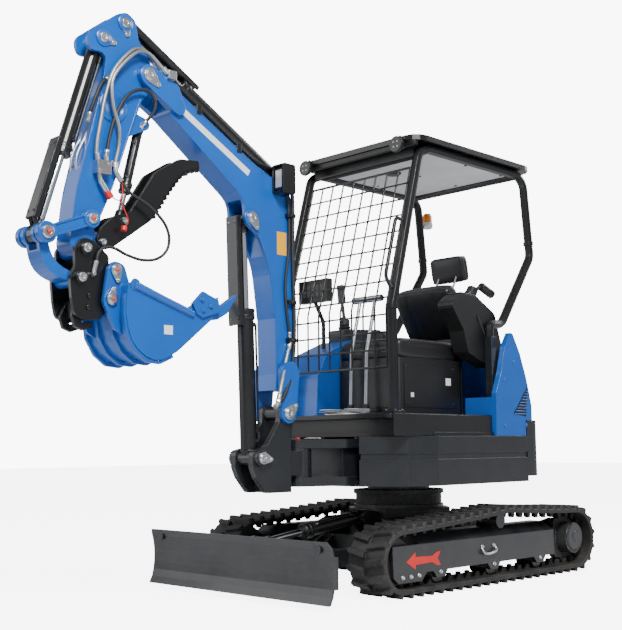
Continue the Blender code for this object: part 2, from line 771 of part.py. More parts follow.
def seat_base():
    x_low, x_high = SEAT_X - SEAT_BOX_HALF, SEAT_X + SEAT_BOX_HALF
    outline = rounded([(x_low, SEAT_BOX_FRONT, 0.03), (x_high, SEAT_BOX_FRONT, 0.03),
                       (x_high, SEAT_BOX_REAR), (x_low, SEAT_BOX_REAR)], 3)
    return plan_plate(outline, FLOOR_TOP + GAP, SEAT_BOX_TOP)


def seat_cushion():
    z_low = SEAT_BOX_TOP + GAP
    outline = rounded([(SEAT_X - 0.225, -0.330, 0.08), (SEAT_X + 0.225, -0.330, 0.08),
                       (SEAT_X + 0.225, 0.200, 0.05), (SEAT_X - 0.225, 0.200, 0.05)], 3)
    return plan_plate(outline, z_low, z_low + CUSHION_T)


def seat_back():
    """The reclined backrest, drawn from the side."""
    foot = SEAT_BOX_TOP + CUSHION_T + 2 * GAP
    outline = rounded([(0.085, foot, 0.02), (0.180, foot, 0.02), (0.385, 1.600, 0.03),
                       (0.275, 1.620, 0.03)], 3)
    return side_plate(outline, SEAT_X - 0.215, SEAT_X + 0.215)


def headrest():
    block = side_plate(rounded([(0.350, 1.660, 0.03), (0.425, 1.660, 0.03),
                                (0.455, 1.810, 0.03), (0.380, 1.810, 0.03)], 3),
                       SEAT_X - 0.125, SEAT_X + 0.125)
    stems = [rod((SEAT_X + side, 0.332, 1.6132), (SEAT_X + side, 0.390, 1.690), 0.006, 12)
             for side in (-0.050, 0.050)]
    return join(block, *stems)


def rear_cover(side):
    """A blue corner cover beside the engine bay, from skirt to seat height."""
    outline = [(0.2145, SKIRT_TOP + GAP), (0.222, 0.985), (0.275, 1.105), (0.315, 1.245),
               (0.370, 1.325), (0.395, 1.322), (0.460, 1.215), (0.515, 1.080),
               (0.560, 0.925), (0.560, TAIL_TOP + GAP), (0.498, TAIL_TOP + GAP),
               (0.498, SKIRT_TOP + GAP)]
    shell = side_plate(outline, 0.262, 0.472)
    pocket = side_plate([(0.235, SKIRT_TOP - 0.05), (0.240, 0.960), (0.100, 0.990),
                         (0.100, 1.400), (0.420, 1.400), (0.455, 1.190), (0.490, 1.060),
                         (0.535, 0.920), (0.535, TAIL_TOP - 0.02), (0.475, TAIL_TOP - 0.02),
                         (0.475, SKIRT_TOP - 0.05)], 0.200, 0.440)
    solid = cut(shell, pocket)
    return solid if side > 0 else swap(solid)


def engine_deck():
    """The upright panel behind the seat that carries the rear canopy posts."""
    wall = box((-0.194, FLOOR_REAR - 0.012, FLOOR_TOP + GAP), (0.255, FLOOR_REAR, 1.290))
    shelf = box((-0.255, FLOOR_REAR - 0.010, 1.284), (0.257, SHELF_REAR, SHELF_TOP))
    return join(wall, shelf)


def rear_bonnet():
    """The hinged engine cover at the tail."""
    profile = [(BONNET_PIN[0], 1.318), (0.440, 1.327), (0.520, 1.322), (0.600, 1.215),
               (0.655, 1.080), (0.700, 0.925), (0.712, TAIL_TOP + CLEAR), (0.698, TAIL_TOP + CLEAR), (0.686, 0.920),
               (0.640, 1.074), (0.586, 1.206), (0.512, 1.308), (0.440, 1.313),
               (BONNET_PIN[0], 1.304)]
    return side_plate(profile, -0.255, 0.255)


def tank_cover():
    """The blue cover over the tanks, on the right of the operator."""
    outline = rounded([(TANK_FRONT, SKIRT_TOP + GAP), (-0.475, 1.090, 0.05),
                       (-0.400, 1.215, 0.05), (-0.190, 1.300, 0.03), (0.190, 1.300),
                       (0.190, SKIRT_TOP + GAP)], 3)
    return side_plate(outline, -0.452, -0.205)


def right_console():
    body = side_plate(rounded([(-0.190, 1.3003), (-0.215, 1.365, 0.02), (0.120, 1.385, 0.02),
                               (0.150, 1.3003)], 3), -0.385, -0.265)
    boot = rod((-0.325, -0.130, 1.370), (-0.325, -0.130, 1.430), 0.030, 20)
    stick = rod((-0.325, -0.130, 1.420), (-0.325, -0.150, 1.540), 0.010, 16)
    grip = rod((-0.325, -0.150, 1.530), (-0.325, -0.160, 1.630), 0.023, 20)
    return join(body, boot, stick, grip)


def left_console():
    """The arm console, tilted up out of the way of the operator."""
    outline = rounded([(0.120, 1.205, 0.03), (0.080, 1.330, 0.04), (-0.030, 1.470, 0.03),
                       (0.060, 1.530, 0.03), (0.200, 1.525, 0.03), (0.370, 1.440, 0.04),
                       (0.440, 1.230, 0.03), (0.335, 1.130, 0.03)], 3)
    body = side_plate(outline, CONSOLE_IN, CONSOLE_OUT)
    x = (CONSOLE_IN + CONSOLE_OUT) / 2
    boot = rod((x, 0.190, 1.500), (x, 0.240, 1.575), 0.032, 20)
    stick = rod((x, 0.235, 1.565), (x, 0.330, 1.600), 0.010, 16)
    grip = rod((x, 0.320, 1.597), (x, 0.420, 1.560), 0.024, 20)
    return join(body, boot, stick, grip)


def travel_levers():
    """Two flat levers with their wide grips, joined by the valve bar at the floor."""
    bar = box((-0.085, -0.415, FLOOR_TOP + GAP), (0.105, -0.365, FLOOR_TOP + 0.030))
    solids = []
    for x in (-0.045, 0.065):
        solids.append(tube(bent([(x, -0.390, FLOOR_TOP + 0.02), (x, -0.375, 1.20),
                                 (x, -0.300, 1.495)], 0.10), 0.010, 2))
        solids.append(rod((x - 0.048, -0.300, 1.500), (x + 0.048, -0.300, 1.500), 0.019, 16))
    return join(bar, *solids)


def pedals():
    """Two ribbed foot pedals on their shared shaft."""
    bar = box((-0.130, -0.500, FLOOR_TOP + GAP), (0.150, -0.480, FLOOR_TOP + 0.016))
    plates = [side_plate([(-0.560, FLOOR_TOP + 0.020), (-0.555, FLOOR_TOP + 0.014),
                          (-0.450, FLOOR_TOP + 0.012), (-0.440, FLOOR_TOP + 0.030)],
                         x - 0.045, x + 0.045) for x in (-0.080, 0.100)]
    return join(bar, *plates)


def monitor():
    """The display on its stalk, in front of the right console."""
    stalk = tube(bent([(-0.300, -0.330, 1.2482), (-0.300, -0.330, 1.400),
                       (-0.280, -0.425, 1.520)], 0.05), 0.011, 2)
    case = box((-0.385, -0.440, 1.500), (-0.160, -0.400, 1.625))
    return join(stalk, case)


def canopy_post(side):
    """One side hoop of the canopy, from the front foot over the roof to the rear foot."""
    x = side * POST_X
    path = bent([(x, -0.551, FLOOR_TOP + GAP), (x, -0.551, 1.404),
                 (x, -0.315, 2.245), (x, -0.240, ROOF_LOW - POST_R - GAP),
                 (x, 0.600, ROOF_LOW - POST_R - GAP), (x, 0.655, 2.230), (x, 0.700, 1.800),
                 (x, 0.390, 1.380), (x, 0.275, 1.370), (x, 0.275, SHELF_TOP + GAP)], 0.075)
    return path


def canopy_frame():
    """Both hoops with the cross tubes that tie them."""
    hoops = [tube(canopy_post(side), POST_R, 2) for side in (-1, 1)]
    ties = [rod((-POST_X, y, z), (POST_X, y, z), POST_R * 0.9, 16)
            for y, z in ((-0.240, ROOF_LOW - POST_R - GAP), (0.600, ROOF_LOW - POST_R - GAP))]
    feet = [box((side * POST_X - 0.038, -0.590, FLOOR_TOP + GAP),
                (side * POST_X + 0.038, -0.510, FLOOR_TOP + 0.014)) for side in (-1, 1)]
    return join(*hoops, *ties, *feet)


def roof():
    """The roof panel with its turned-down edge, and the lifting loop on top."""
    outline = rounded([(-ROOF_HALF, ROOF_FRONT, 0.08), (ROOF_HALF, ROOF_FRONT, 0.08),
                       (ROOF_HALF, ROOF_REAR, 0.08), (-ROOF_HALF, ROOF_REAR, 0.08)], 3)
    panel = plan_plate(outline, ROOF_LOW, ROOF_LOW + ROOF_T)
    loop = tube(bent([(-0.350, 0.470, ROOF_LOW + 0.02), (-0.350, 0.520, ROOF_LOW + 0.085),
                      (-0.350, 0.570, ROOF_LOW + 0.02)], 0.02), 0.008, 1)
    return join(panel, loop)


def headliner():
    """The pale lining under the roof, between the two hoops."""
    half = POST_X - POST_R - 0.004
    top = ROOF_LOW - GAP
    return box((-half, -0.210, top - 0.022), (half, 0.570, top))


def sun_visor():
    """The tinted strip under the front edge of the roof."""
    return box((-POST_X + 0.03, -0.315, ROOF_LOW - 0.060), (POST_X - 0.03, -0.290,
                                                           ROOF_LOW - GAP))


def front_guard():
    """The welded mesh guard in front of the operator, cranked where the posts are."""
    half = POST_X - POST_R - 0.012
    columns = 3
    cell = 2 * (half - 0.012) / columns
    wire = 0.006
    guard_parts = []
    for bottom, top, rows in ((1.100, 1.400, 1), (1.400, 2.165, 3)):
        low_y = -0.551
        slope = 0.0 if top < 1.5 else (-0.315 + 0.551) / (2.245 - 1.404)
        length = (top - bottom) * hypot(1.0, slope)
        step = length / rows
        ring = [(-half, 0), (half, 0), (half, length), (-half, length)]
        holes = []
        for row in range(rows):
            for column in range(columns):
                x = -half + 0.012 + column * cell
                z = row * step
                low = 0.010 if row == 0 else wire / 2
                high = 0.010 if row == rows - 1 else wire / 2
                holes.append([(x + wire / 2, z + low), (x + cell - wire / 2, z + low),
                              (x + cell - wire / 2, z + step - high),
                              (x + wire / 2, z + step - high)])
        item = flat(ring, 0.008, holes)
        item.rotation_euler = (pi / 2 - atan2(slope, 1.0), 0.0, 0.0)
        item.location = (0.0, low_y, bottom)
        guard_parts.append(solid_from(item))
    seam = rod((-half, -0.551, 1.400), (half, -0.551, 1.400), 0.009, 12)
    brackets = [box((side * (half + 0.002) - 0.0095, -0.556, z - 0.02),
                    (side * (half + 0.002) + 0.0095, -0.546, z + 0.02))
                for side in (-1, 1) for z in (1.16, 1.36)]
    return join(guard_parts[0], guard_parts[1], seam, *brackets)


def beacon():
    """The amber beacon on a bracket from the right rear post."""
    y = 0.748
    arm = box((-POST_X - 0.020, POST_REAR_Y + POST_R, 2.096), (-POST_X + 0.020, y + 0.020, 2.108))
    base = rod((-POST_X, y, 2.104), (-POST_X, y, 2.146), 0.030, 18)
    lens = rod((-POST_X, y, 2.142), (-POST_X, y, 2.200), 0.034, 18)
    return join(arm, base, lens)


def work_light(x):
    """A square work light on a short stalk under the roof's front edge."""
    case = box((x - 0.045, ROOF_FRONT - 0.045, ROOF_LOW - 0.065),
               (x + 0.045, ROOF_FRONT - 0.008, ROOF_LOW + 0.025))
    stalk = box((x - 0.008, ROOF_FRONT - 0.010, ROOF_LOW - 0.030),
                (x + 0.008, ROOF_FRONT + 0.040, ROOF_LOW - GAP))
    return join(case, stalk)


def grab_handle():
    """The handle in front of the left front post."""
    x = POST_X
    return tube(bent([(x, -0.4568, 1.860), (x, -0.508, 1.868), (x, -0.598, 1.550),
                      (x, -0.5560, 1.500)], 0.05), 0.010, 2)


# ---------------------------------------------------------------- digging gear
def swing_post():
    """The cast post with its two cheeks, turning in the fork of the house."""
    cheek = rounded([(-0.955, SWING_LOW), (-1.120, SWING_LOW, 0.03), (-1.185, 0.560, 0.05),
                     (-1.208, 0.610, 0.03), (-1.205, 0.690, 0.03), (-1.120, 0.705, 0.05),
                     (-1.030, 0.830, 0.05), (-1.028, 0.908, 0.03), (-0.945, 0.910, 0.03),
                     (-0.940, 0.850, 0.05), (-0.955, 0.720, 0.03)], 3)
    cheeks = [side_plate(cheek, low, high) for low, high in
              ((-CHEEK_OUT, -CHEEK_IN), (CHEEK_IN, CHEEK_OUT))]
    core = side_plate(rounded([(-0.957, SWING_LOW + 0.002), (-1.090, SWING_LOW + 0.002),
                               (-1.040, 0.660, 0.05), (-0.975, 0.700), (-0.957, 0.740)], 3),
                      -CHEEK_IN - 0.01, CHEEK_IN + 0.01)
    hub = rod((0, SWING_Y, FORK_LOW[1] + GAP * 2), (0, SWING_Y, FORK_HIGH[0] - GAP * 2),
              HUB_R, 20)
    neck = box((-0.060, -0.990, FORK_LOW[1] + 0.012), (0.060, SWING_Y, FORK_HIGH[0] - 0.012))
    bosses = [axle(FOOT_PIN, -CHEEK_OUT + 0.002, CHEEK_OUT - 0.002, 0.036),
              axle(LIFT_BASE, CHEEK_OUT - 0.004, CHEEK_OUT + 0.022, 0.042),
              axle(LIFT_BASE, -CHEEK_OUT - 0.022, -CHEEK_OUT + 0.004, 0.042)]
    return join(*cheeks, core, hub, neck, *bosses)


def boom():
    """The cranked box boom: forked foot, lug for its cylinder, forked nose."""
    profile = rounded([(-1.700, 2.372, 0.03), (-1.186, 2.092, 0.16), (-0.925, 1.985, 0.10),
                       (-0.925, 1.600), (-0.915, 1.180), (-0.893, 0.985, 0.05),
                       (-0.905, 0.912), (-0.985, 0.822, 0.04), (-1.048, 0.912, 0.04),
                       (-1.038, 1.060), (-1.045, 1.334), (-1.084, 1.590, 0.30),
                       (-1.150, 1.735, 0.10), (-1.235, 1.785, 0.04), (-1.244, 1.840, 0.04),
                       (-1.240, 1.900, 0.10), (-1.700, 2.232, 0.04)], 3)
    beam = side_plate(profile, -BOOM_HALF, BOOM_HALF)
    nose = hull([(*ELBOW, 0.050), (-1.700, 2.335, 0.045), (-1.660, 2.265, 0.035)], 26)
    fork = [side_plate(nose, low, high) for low, high in
            ((ARM_HALF - 0.004, FORK_HALF), (-FORK_HALF, -ARM_HALF + 0.004))]
    foot = hull([(*FOOT_PIN, 0.050), (-0.975, 1.060, 0.062)], 20)
    feet = [side_plate(foot, low, high) for low, high in
            ((CHEEK_OUT - 0.005, CHEEK_OUT + 0.020), (-CHEEK_OUT - 0.020, -CHEEK_OUT + 0.005))]
    bridge = box((-CHEEK_OUT - 0.019, -1.030, 1.010), (CHEEK_OUT + 0.019, -0.925, 1.090))
    solid = join(beam, *fork, *feet, bridge)
    foot_slot = box((-CHEEK_OUT - RUN, -1.200, 0.780), (CHEEK_OUT + RUN, -0.850, 0.980))
    nose_slot = side_plate(hull([(*ELBOW, 0.135), (-1.95, 2.40, 0.135)], 26),
                           -ARM_HALF - RUN * 2, ARM_HALF + RUN * 2)
    relief = side_plate([(-1.300, 1.640), (-1.300, 1.905), (-1.135, 1.890), (-1.105, 1.640)],
                        -LIFT_IN - RUN, LIFT_IN + RUN)
    solid = cut(solid, foot_slot, nose_slot, relief)
    lugs = [side_plate(hull([(*ARM_BASE, 0.042), (-1.000, 1.985, 0.050),
                             (-1.060, 2.010, 0.030)], 20), low, high)
            for low, high in ((CYL_BASE_IN + RUN, 0.058), (-0.058, -CYL_BASE_IN - RUN))]
    bosses = [axle(LIFT_EYE, low, high, 0.040) for low, high in
              ((LIFT_IN + RUN, BOOM_HALF + 0.010), (-BOOM_HALF - 0.010, -LIFT_IN - RUN))]
    return join(solid, *lugs, *bosses)


def boom_light():
    """The work light in its box guard on the boom's left face."""
    guard_box = side_plate(rounded([(-1.060, 1.955, 0.01), (-0.975, 1.955, 0.01),
                                    (-0.975, 2.105, 0.01), (-1.060, 2.105, 0.01)], 3),
                           BOOM_HALF + GAP, BOOM_HALF + 0.080)
    hollow = box((BOOM_HALF + 0.010, -1.100, 1.967), (BOOM_HALF + 0.072, -0.990, 2.093))
    shell = cut(guard_box, hollow)
    lamp = box((BOOM_HALF + 0.016, -1.045, 1.980), (BOOM_HALF + 0.066, -0.985, 2.080))
    return join(shell, lamp)


def arm():
    """The dipper arm: head plates for two cylinders, box beam, nose for the coupler."""
    profile = rounded([(-1.890, 2.625, 0.03), (-1.935, 2.656, 0.04), (-1.990, 2.630, 0.04),
                       (-2.150, 2.500, 0.05), (-2.130, 2.430, 0.03), (-2.040, 2.440, 0.03),
                       (-2.066, 2.250), (-2.160, 1.893), (-2.192, 1.752),
                       (-2.212, 1.560, 0.04), (-2.160, 1.497, 0.04), (-2.108, 1.540, 0.04),
                       (-2.092, 1.640), (-2.000, 1.836), (-1.920, 2.074), (-1.850, 2.262),
                       (-1.780, 2.340, 0.05), (-1.800, 2.440, 0.05), (-1.872, 2.543)], 3)
    solid = side_plate(profile, -ARM_HALF, ARM_HALF)
    slots = [side_plate(hull([(*CURL_BASE, 0.058), (-2.190, 2.520, 0.060),
                              (-2.100, 2.330, 0.046)], 26), -CYL_BASE_IN - RUN,
                        CYL_BASE_IN + RUN),
             side_plate(hull([(*ARM_EYE, 0.072), (-1.850, 2.700, 0.072),
                              (-1.790, 2.560, 0.040)], 26), -CYL_BASE_IN - RUN,
                        CYL_BASE_IN + RUN)]
    solid = cut(solid, *slots)
    thumb_lugs = [side_plate(hull([(*THUMB_BASE, 0.028), (-1.905, 2.180, 0.030),
                                   (-1.930, 2.110, 0.030)], 20), low, high)
                  for low, high in ((THUMB_BASE_IN + RUN, 0.042), (-0.042, -THUMB_BASE_IN - RUN))]
    thumb_foot = side_plate(hull([(*THUMB_PIN, 0.030), (-2.110, 1.620, 0.030)], 20),
                            -THUMB_IN + RUN, THUMB_IN - RUN)
    bosses = [axle(pin, -ARM_HALF - 0.008, ARM_HALF + 0.008, 0.036)
              for pin in (LINK_PIN, TIP_PIN)]
    solid = join(solid, *thumb_lugs, thumb_foot, *bosses)
    return cut(solid, axle(LINK_PIN, -ARM_HALF - 0.02, ARM_HALF + 0.02, PIN_R + RUN))


def side_links():
    """Two I-section links from the arm to the bucket cylinder's eye, on one arm pin."""
    halves = []
    for side in (-1, 1):
        x_in = side * (ARM_HALF + 0.008 + RUN)
        x_out = side * (ARM_HALF + 0.036)
        low, high = min(x_in, x_out), max(x_in, x_out)
        bar = [(LINK_PIN[0], LINK_PIN[1], 0.026), (CURL_EYE[0], CURL_EYE[1], 0.026)]
        halves.append(side_plate(hull(bar, 20), low + 0.003, high - 0.006))
        halves.append(axle(LINK_PIN, low, high, 0.040))
        halves.append(axle(CURL_EYE, low, high, 0.046))
    pin = axle(LINK_PIN, -ARM_HALF - 0.02, ARM_HALF + 0.02, PIN_R)
    return join(*halves, pin)


def curved_link():
    """The bowed bucket link, forked at the cylinder's eye and solid at the coupler."""
    joint, foot = CURL_EYE, COUPLER_PIN
    steps = 10
    line = Vector((foot[0] - joint[0], foot[1] - joint[1]))
    out = Vector((line.y, -line.x)).normalized()
    if out.x > 0:
        out = -out
    outer, inner = [], []
    for step in range(steps + 1):
        share = step / steps
        middle = Vector(joint) + line * share + out * 0.052 * sin(pi * share)
        outer.append(tuple(middle + out * 0.026))
        inner.append(tuple(middle - out * 0.026))
    strap = side_plate(outer + inner[::-1], -0.052, 0.052)
    top = axle(joint, -0.052, 0.052, 0.044)
    low = axle(foot, -COUPLER_IN + RUN, COUPLER_IN - RUN, 0.034)
    solid = join(strap, top, low)
    slot = side_plate(hull([(*joint, 0.066), (joint[0] + 0.06, joint[1] + 0.08, 0.05),
                            (joint[0] - 0.03, joint[1] + 0.10, 0.05)], 26), -0.0306, 0.0306)
    return cut(solid, slot)


def quick_coupler():
    """The hitch between arm and bucket: two side plates with their cross bars."""
    plate = rounded([(-2.205, 1.545, 0.04), (-2.165, 1.596, 0.04), (-2.105, 1.580, 0.03),
                     (-2.034, 1.525, 0.02), (-2.034, 1.440), (-2.042, 1.290), (-2.075, 1.250, 0.02),
                     (-2.150, 1.240, 0.03), (-2.200, 1.262, 0.03), (-2.215, 1.330, 0.03),
                     (-2.225, 1.420, 0.04), (-2.200, 1.470)], 3)
    cheeks = [side_plate(plate, low, high) for low, high in
              ((COUPLER_IN, COUPLER_OUT), (-COUPLER_OUT, -COUPLER_IN))]
    bars = [box((-COUPLER_IN - 0.004, -2.165, 1.262), (COUPLER_IN + 0.004, -2.085, 1.330)),
            axle((-2.085, 1.490), -COUPLER_IN - 0.004, COUPLER_IN + 0.004, 0.014)]
    caps = []
    for pin in (TIP_PIN, COUPLER_PIN):
        caps += [axle(pin, COUPLER_OUT - 0.004, COUPLER_OUT + 0.020, 0.026),
                 axle(pin, -COUPLER_OUT - 0.020, -COUPLER_OUT + 0.004, 0.026)]
    solid = join(*cheeks, *bars, *caps)
    return cut(solid, *[axle(pin, -0.2, 0.2, PIN_R + 0.0005)
                        for pin in (BUCKET_PIN_A, BUCKET_PIN_B)])


def bucket():
    """The digging bucket: a wrapped shell with side cutters, teeth and two ears."""
    wall = 0.012
    lip = (-1.520, 1.290)
    shell = rounded([(-1.990, 1.405, 0.02), (-1.955, 1.418, 0.01), (-1.640, 1.305),
                     (-1.545, 1.330), (-1.500, 1.318), lip, (-1.725, 1.125, 0.10),
                     (-1.830, 1.070, 0.12), (-1.970, 1.130, 0.16), (-2.000, 1.280, 0.12)], 3)
    body = side_plate(shell, -BUCKET_HALF, BUCKET_HALF)
    inner = rounded([(-1.975, 1.440), (-1.940, 1.440), (-1.600, 1.420), (-1.480, 1.360),
                     (-1.505, 1.318), (-1.733, 1.140, 0.09), (-1.830, 1.084, 0.11),
                     (-1.960, 1.140, 0.15), (-1.986, 1.280, 0.12)], 3)
    hollow = side_plate(inner, -BUCKET_HALF + wall, BUCKET_HALF - wall)
    solid = cut(body, hollow)
    rims = [side_plate(hull([(-1.955, 1.402, 0.016), (-1.660, 1.300, 0.016)], 12),
                       side * BUCKET_HALF - 0.012, side * BUCKET_HALF + 0.006)
            for side in (-1, 1)]
    cutters = [side_plate([(-1.650, 1.345), (-1.590, 1.405), (-1.500, 1.372), (-1.490, 1.318),
                           (-1.590, 1.285), (-1.625, 1.300)],
                          side * (BUCKET_HALF + 0.004) - 0.008,
                          side * (BUCKET_HALF + 0.004) + 0.008) for side in (-1, 1)]
    teeth = []
    for index in range(3):
        x = (index - 1) * (BUCKET_HALF - 0.030)
        teeth.append(side_plate([(-1.545, 1.282), (-1.520, 1.325), (-1.470, 1.345),
                                 (-1.365, 1.414), (-1.430, 1.318), (-1.490, 1.285)],
                                x - 0.020, x + 0.020))
    ears = []
    for side in (-1, 1):
        x_low = side * 0.1035 - 0.009
        ears.append(side_plate(rounded([(-2.058, 1.470, 0.03), (-2.030, 1.505, 0.03),
                                        (-1.975, 1.490, 0.03), (-1.950, 1.420),
                                        (-1.940, 1.300), (-1.960, 1.180), (-2.020, 1.210, 0.02),
                                        (-2.080, 1.320, 0.04)], 3), x_low, x_low + 0.018))
    pins = [axle(pin, -0.118, 0.118, PIN_R) for pin in (BUCKET_PIN_A, BUCKET_PIN_B)]
    return join(solid, *rims, *cutters, *teeth, *ears, *pins)


def thumb():
    """The toothed thumb, folded up under the arm."""
    outline = rounded([(-2.075, 1.600, 0.02), (-2.055, 1.650, 0.03), (-1.985, 1.715, 0.03),
                       (-1.900, 1.745), (-1.850, 1.820, 0.05), (-1.770, 1.945, 0.08),
                       (-1.630, 2.035, 0.06), (-1.515, 2.045, 0.01), (-1.512, 2.005),
                       (-1.600, 1.975, 0.08), (-1.700, 1.850, 0.08), (-1.790, 1.720, 0.05),
                       (-1.900, 1.640), (-1.990, 1.575), (-2.045, 1.552, 0.03)], 3)
    plates = [side_plate(outline, low, low + 0.016) for low in (THUMB_IN, -THUMB_IN - 0.016)]
    web = side_plate([(-1.880, 1.700), (-1.800, 1.830), (-1.740, 1.910), (-1.640, 1.975),
                      (-1.650, 1.950), (-1.710, 1.880), (-1.780, 1.770), (-1.850, 1.690)],
                     -THUMB_IN - 0.002, THUMB_IN + 0.002)
    return join(*plates, web)


# ---------------------------------------------------------------- the machine
def set_axes():
    """Every joint axis, in the order of the chain."""
    pivot("machine", (0, 0, 0))
    pivot("house", (0, SLEW_Y, RING_TOP), "machine")
    pivot("blade", (0, *BLADE_PIVOT), "machine")
    pivot("left_console", (0.32, *CONSOLE_PIN), "house")
    pivot("rear_bonnet", (0, *BONNET_PIN), "house")
    pivot("swing_post", (0, SWING_Y, FORK_LOW[1]), "house")
    pivot("boom", (0, *FOOT_PIN), "swing_post")
    pivot("arm", (0, *ELBOW), "boom")
    pivot("side_links", (0, *LINK_PIN), "arm")
    pivot("bucket", (0, *TIP_PIN), "arm")
    pivot("curved_link", (0, *COUPLER_PIN), "bucket")
    pivot("thumb", (0, *THUMB_PIN), "arm")
    carriers = {"blade": "machine", "boom": "swing_post", "arm": "boom", "bucket": "arm",
                "thumb": "arm"}
    for name, carrier in carriers.items():
        base, eye = CYLINDERS[name][:2]
        pivot(name + "_cylinder_barrel", (0, *base), carrier)
        pivot(name + "_cylinder_rod", (0, *eye), name + "_cylinder_barrel")


def build_undercarriage():
    part("carbody", carbody(), "machine", GREY)
    part("slew_ring", slew_ring(), "machine", CAST)
    for name, maker, material in (("track", track, RUBBER), ("front_idler", idler, CAST),
                                  ("drive_sprocket", sprocket, GREY),
                                  ("track_frame", track_frame, GREY)):
        left = maker()
        part(name + "_right", mirrored(left), "machine", material)
        part(name + "_left", left, "machine", material)


def build_house():
    part("house_frame", house_frame(), "house", GREY)
    part("side_skirt_left", skirt(1), "house", GREY)
    part("side_skirt_right", skirt(-1), "house", GREY)
    part("counterweight", counterweight(), "house", GREY)
    part("engine_block", engine_block(), "house", CAST)
    part("floor_plate", floor_plate(), "house", BLACK)
    part("seat_base", seat_base(), "house", PLASTIC)
    part("seat_cushion", seat_cushion(), "house", VINYL)
    part("seat_back", seat_back(), "house", VINYL)
    part("headrest", headrest(), "house", VINYL)
    part("engine_deck", engine_deck(), "house", BLACK)
    part("rear_cover_left", rear_cover(1), "house", BLUE)
    part("rear_cover_right", rear_cover(-1), "house", BLUE)
    part("rear_bonnet", rear_bonnet(), "rear_bonnet", PLASTIC)
    part("tank_cover", tank_cover(), "house", BLUE)
    part("right_console", right_console(), "house", PLASTIC)
    part("left_console", left_console(), "left_console", PLASTIC)
    part("travel_levers", travel_levers(), "house", STEEL)
    part("pedals", pedals(), "house", STEEL)
    part("monitor", monitor(), "house", PLASTIC)


def build_canopy():
    part("canopy_frame", canopy_frame(), "house", BLACK)
    part("roof", roof(), "house", BLACK)
    part("headliner", headliner(), "house", LINER)
    part("sun_visor", sun_visor(), "house", PLASTIC)
    part("front_guard", front_guard(), "house", BLACK)
    part("beacon", beacon(), "house", AMBER)
    part("work_light_left", work_light(0.340), "house", PLASTIC)
    part("work_light_right", work_light(-0.340), "house", PLASTIC)
    part("grab_handle", grab_handle(), "house", BLACK)


def build_digging_gear():
    part("swing_post", swing_post(), "swing_post", GREY)
    part("boom", boom(), "boom", BLUE)
    part("boom_light", boom_light(), "boom", BLUE)
    part("arm", arm(), "arm", BLUE)
    part("side_links", side_links(), "side_links", BLUE)
    part("curved_link", curved_link(), "curved_link", BLUE)
    part("quick_coupler", quick_coupler(), "bucket", BLACK)
    part("bucket", bucket(), "bucket", BLUE)
    part("thumb", thumb(), "thumb", BLACK)
    lift, curl = CYLINDERS["boom"][:2], CYLINDERS["bucket"][:2]
    cylinder("boom", CHEEK_IN - RUN, LIFT_IN, 0.036,
             guard(*lift, 0.640, reach_of(*lift) + 0.010, 0.070, 0.041, 0.005))
    cylinder("arm", CYL_BASE_IN, CYL_BASE_IN, 0.036,
             guard(ARM_BASE, ARM_EYE, 0.640, reach_of(ARM_BASE, ARM_EYE) - 0.02, -0.052, 0.036,
                   0.005))
    cylinder("bucket", CYL_BASE_IN, 0.030, 0.036,
             guard(*curl, 0.520, reach_of(*curl) - 0.058, -0.050, 0.036, 0.005))
    cylinder("thumb", THUMB_BASE_IN, THUMB_IN - RUN, 0.024)


def build_blade():
    part("blade", blade(), "blade", GREY)
    cylinder("blade", BLADE_CYL_IN - RUN, BLADE_CYL_IN - RUN, 0.030)


def centre_on_origin():
    """Shifts the whole machine along Y until its box is centred on the origin."""
    bpy.context.view_layer.update()
    ends = [(item.matrix_world @ vertex.co).y for item in PIECES.objects
            for vertex in item.data.vertices]
    AXES["machine"][0].location.y = -(min(ends) + max(ends)) / 2


def new_collection(name):
    collection = bpy.data.collections.new(name)
    bpy.context.scene.collection.children.link(collection)
    return collection


clear_scene()
PIECES = new_collection("mini_excavator")
GUIDES = new_collection("axes")
BLUE, GREY, BLACK = blue_paint(), grey_paint(), black_paint()
STEEL, CAST, RUBBER = bright_steel(), cast_steel(), track_rubber()
PLASTIC, VINYL, LINER, AMBER = black_plastic(), seat_vinyl(), pale_liner(), amber_lens()
set_axes()
build_undercarriage()
build_blade()
build_house()
build_canopy()
build_digging_gear()
centre_on_origin()
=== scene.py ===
"""Studio view of a mini excavator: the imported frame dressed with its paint, hoses,
tracks, seat, wire guard and fittings."""
import bpy
import bmesh
import json
from math import atan2, cos, pi, radians, sin
from mathutils import Euler, Matrix, Vector
from mathutils.noise import noise


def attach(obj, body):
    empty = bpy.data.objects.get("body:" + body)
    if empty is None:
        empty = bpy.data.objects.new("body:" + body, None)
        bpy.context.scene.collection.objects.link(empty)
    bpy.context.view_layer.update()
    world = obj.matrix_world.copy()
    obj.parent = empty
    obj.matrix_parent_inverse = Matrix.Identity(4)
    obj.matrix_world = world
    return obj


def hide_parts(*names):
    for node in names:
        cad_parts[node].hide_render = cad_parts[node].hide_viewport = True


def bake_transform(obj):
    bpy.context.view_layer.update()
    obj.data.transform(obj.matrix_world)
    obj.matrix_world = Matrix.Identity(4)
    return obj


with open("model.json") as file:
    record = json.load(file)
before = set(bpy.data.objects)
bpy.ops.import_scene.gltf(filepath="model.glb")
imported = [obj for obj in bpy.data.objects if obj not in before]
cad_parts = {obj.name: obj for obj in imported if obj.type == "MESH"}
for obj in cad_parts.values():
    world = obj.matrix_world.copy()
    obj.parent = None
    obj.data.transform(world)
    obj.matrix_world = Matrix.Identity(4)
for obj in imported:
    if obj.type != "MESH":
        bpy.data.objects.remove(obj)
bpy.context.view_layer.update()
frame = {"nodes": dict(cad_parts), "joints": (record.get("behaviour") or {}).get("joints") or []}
NODES = frame["nodes"]
PIN = {joint["name"]: Vector(joint["pos_m"]) for joint in frame["joints"] if "pos_m" in joint}

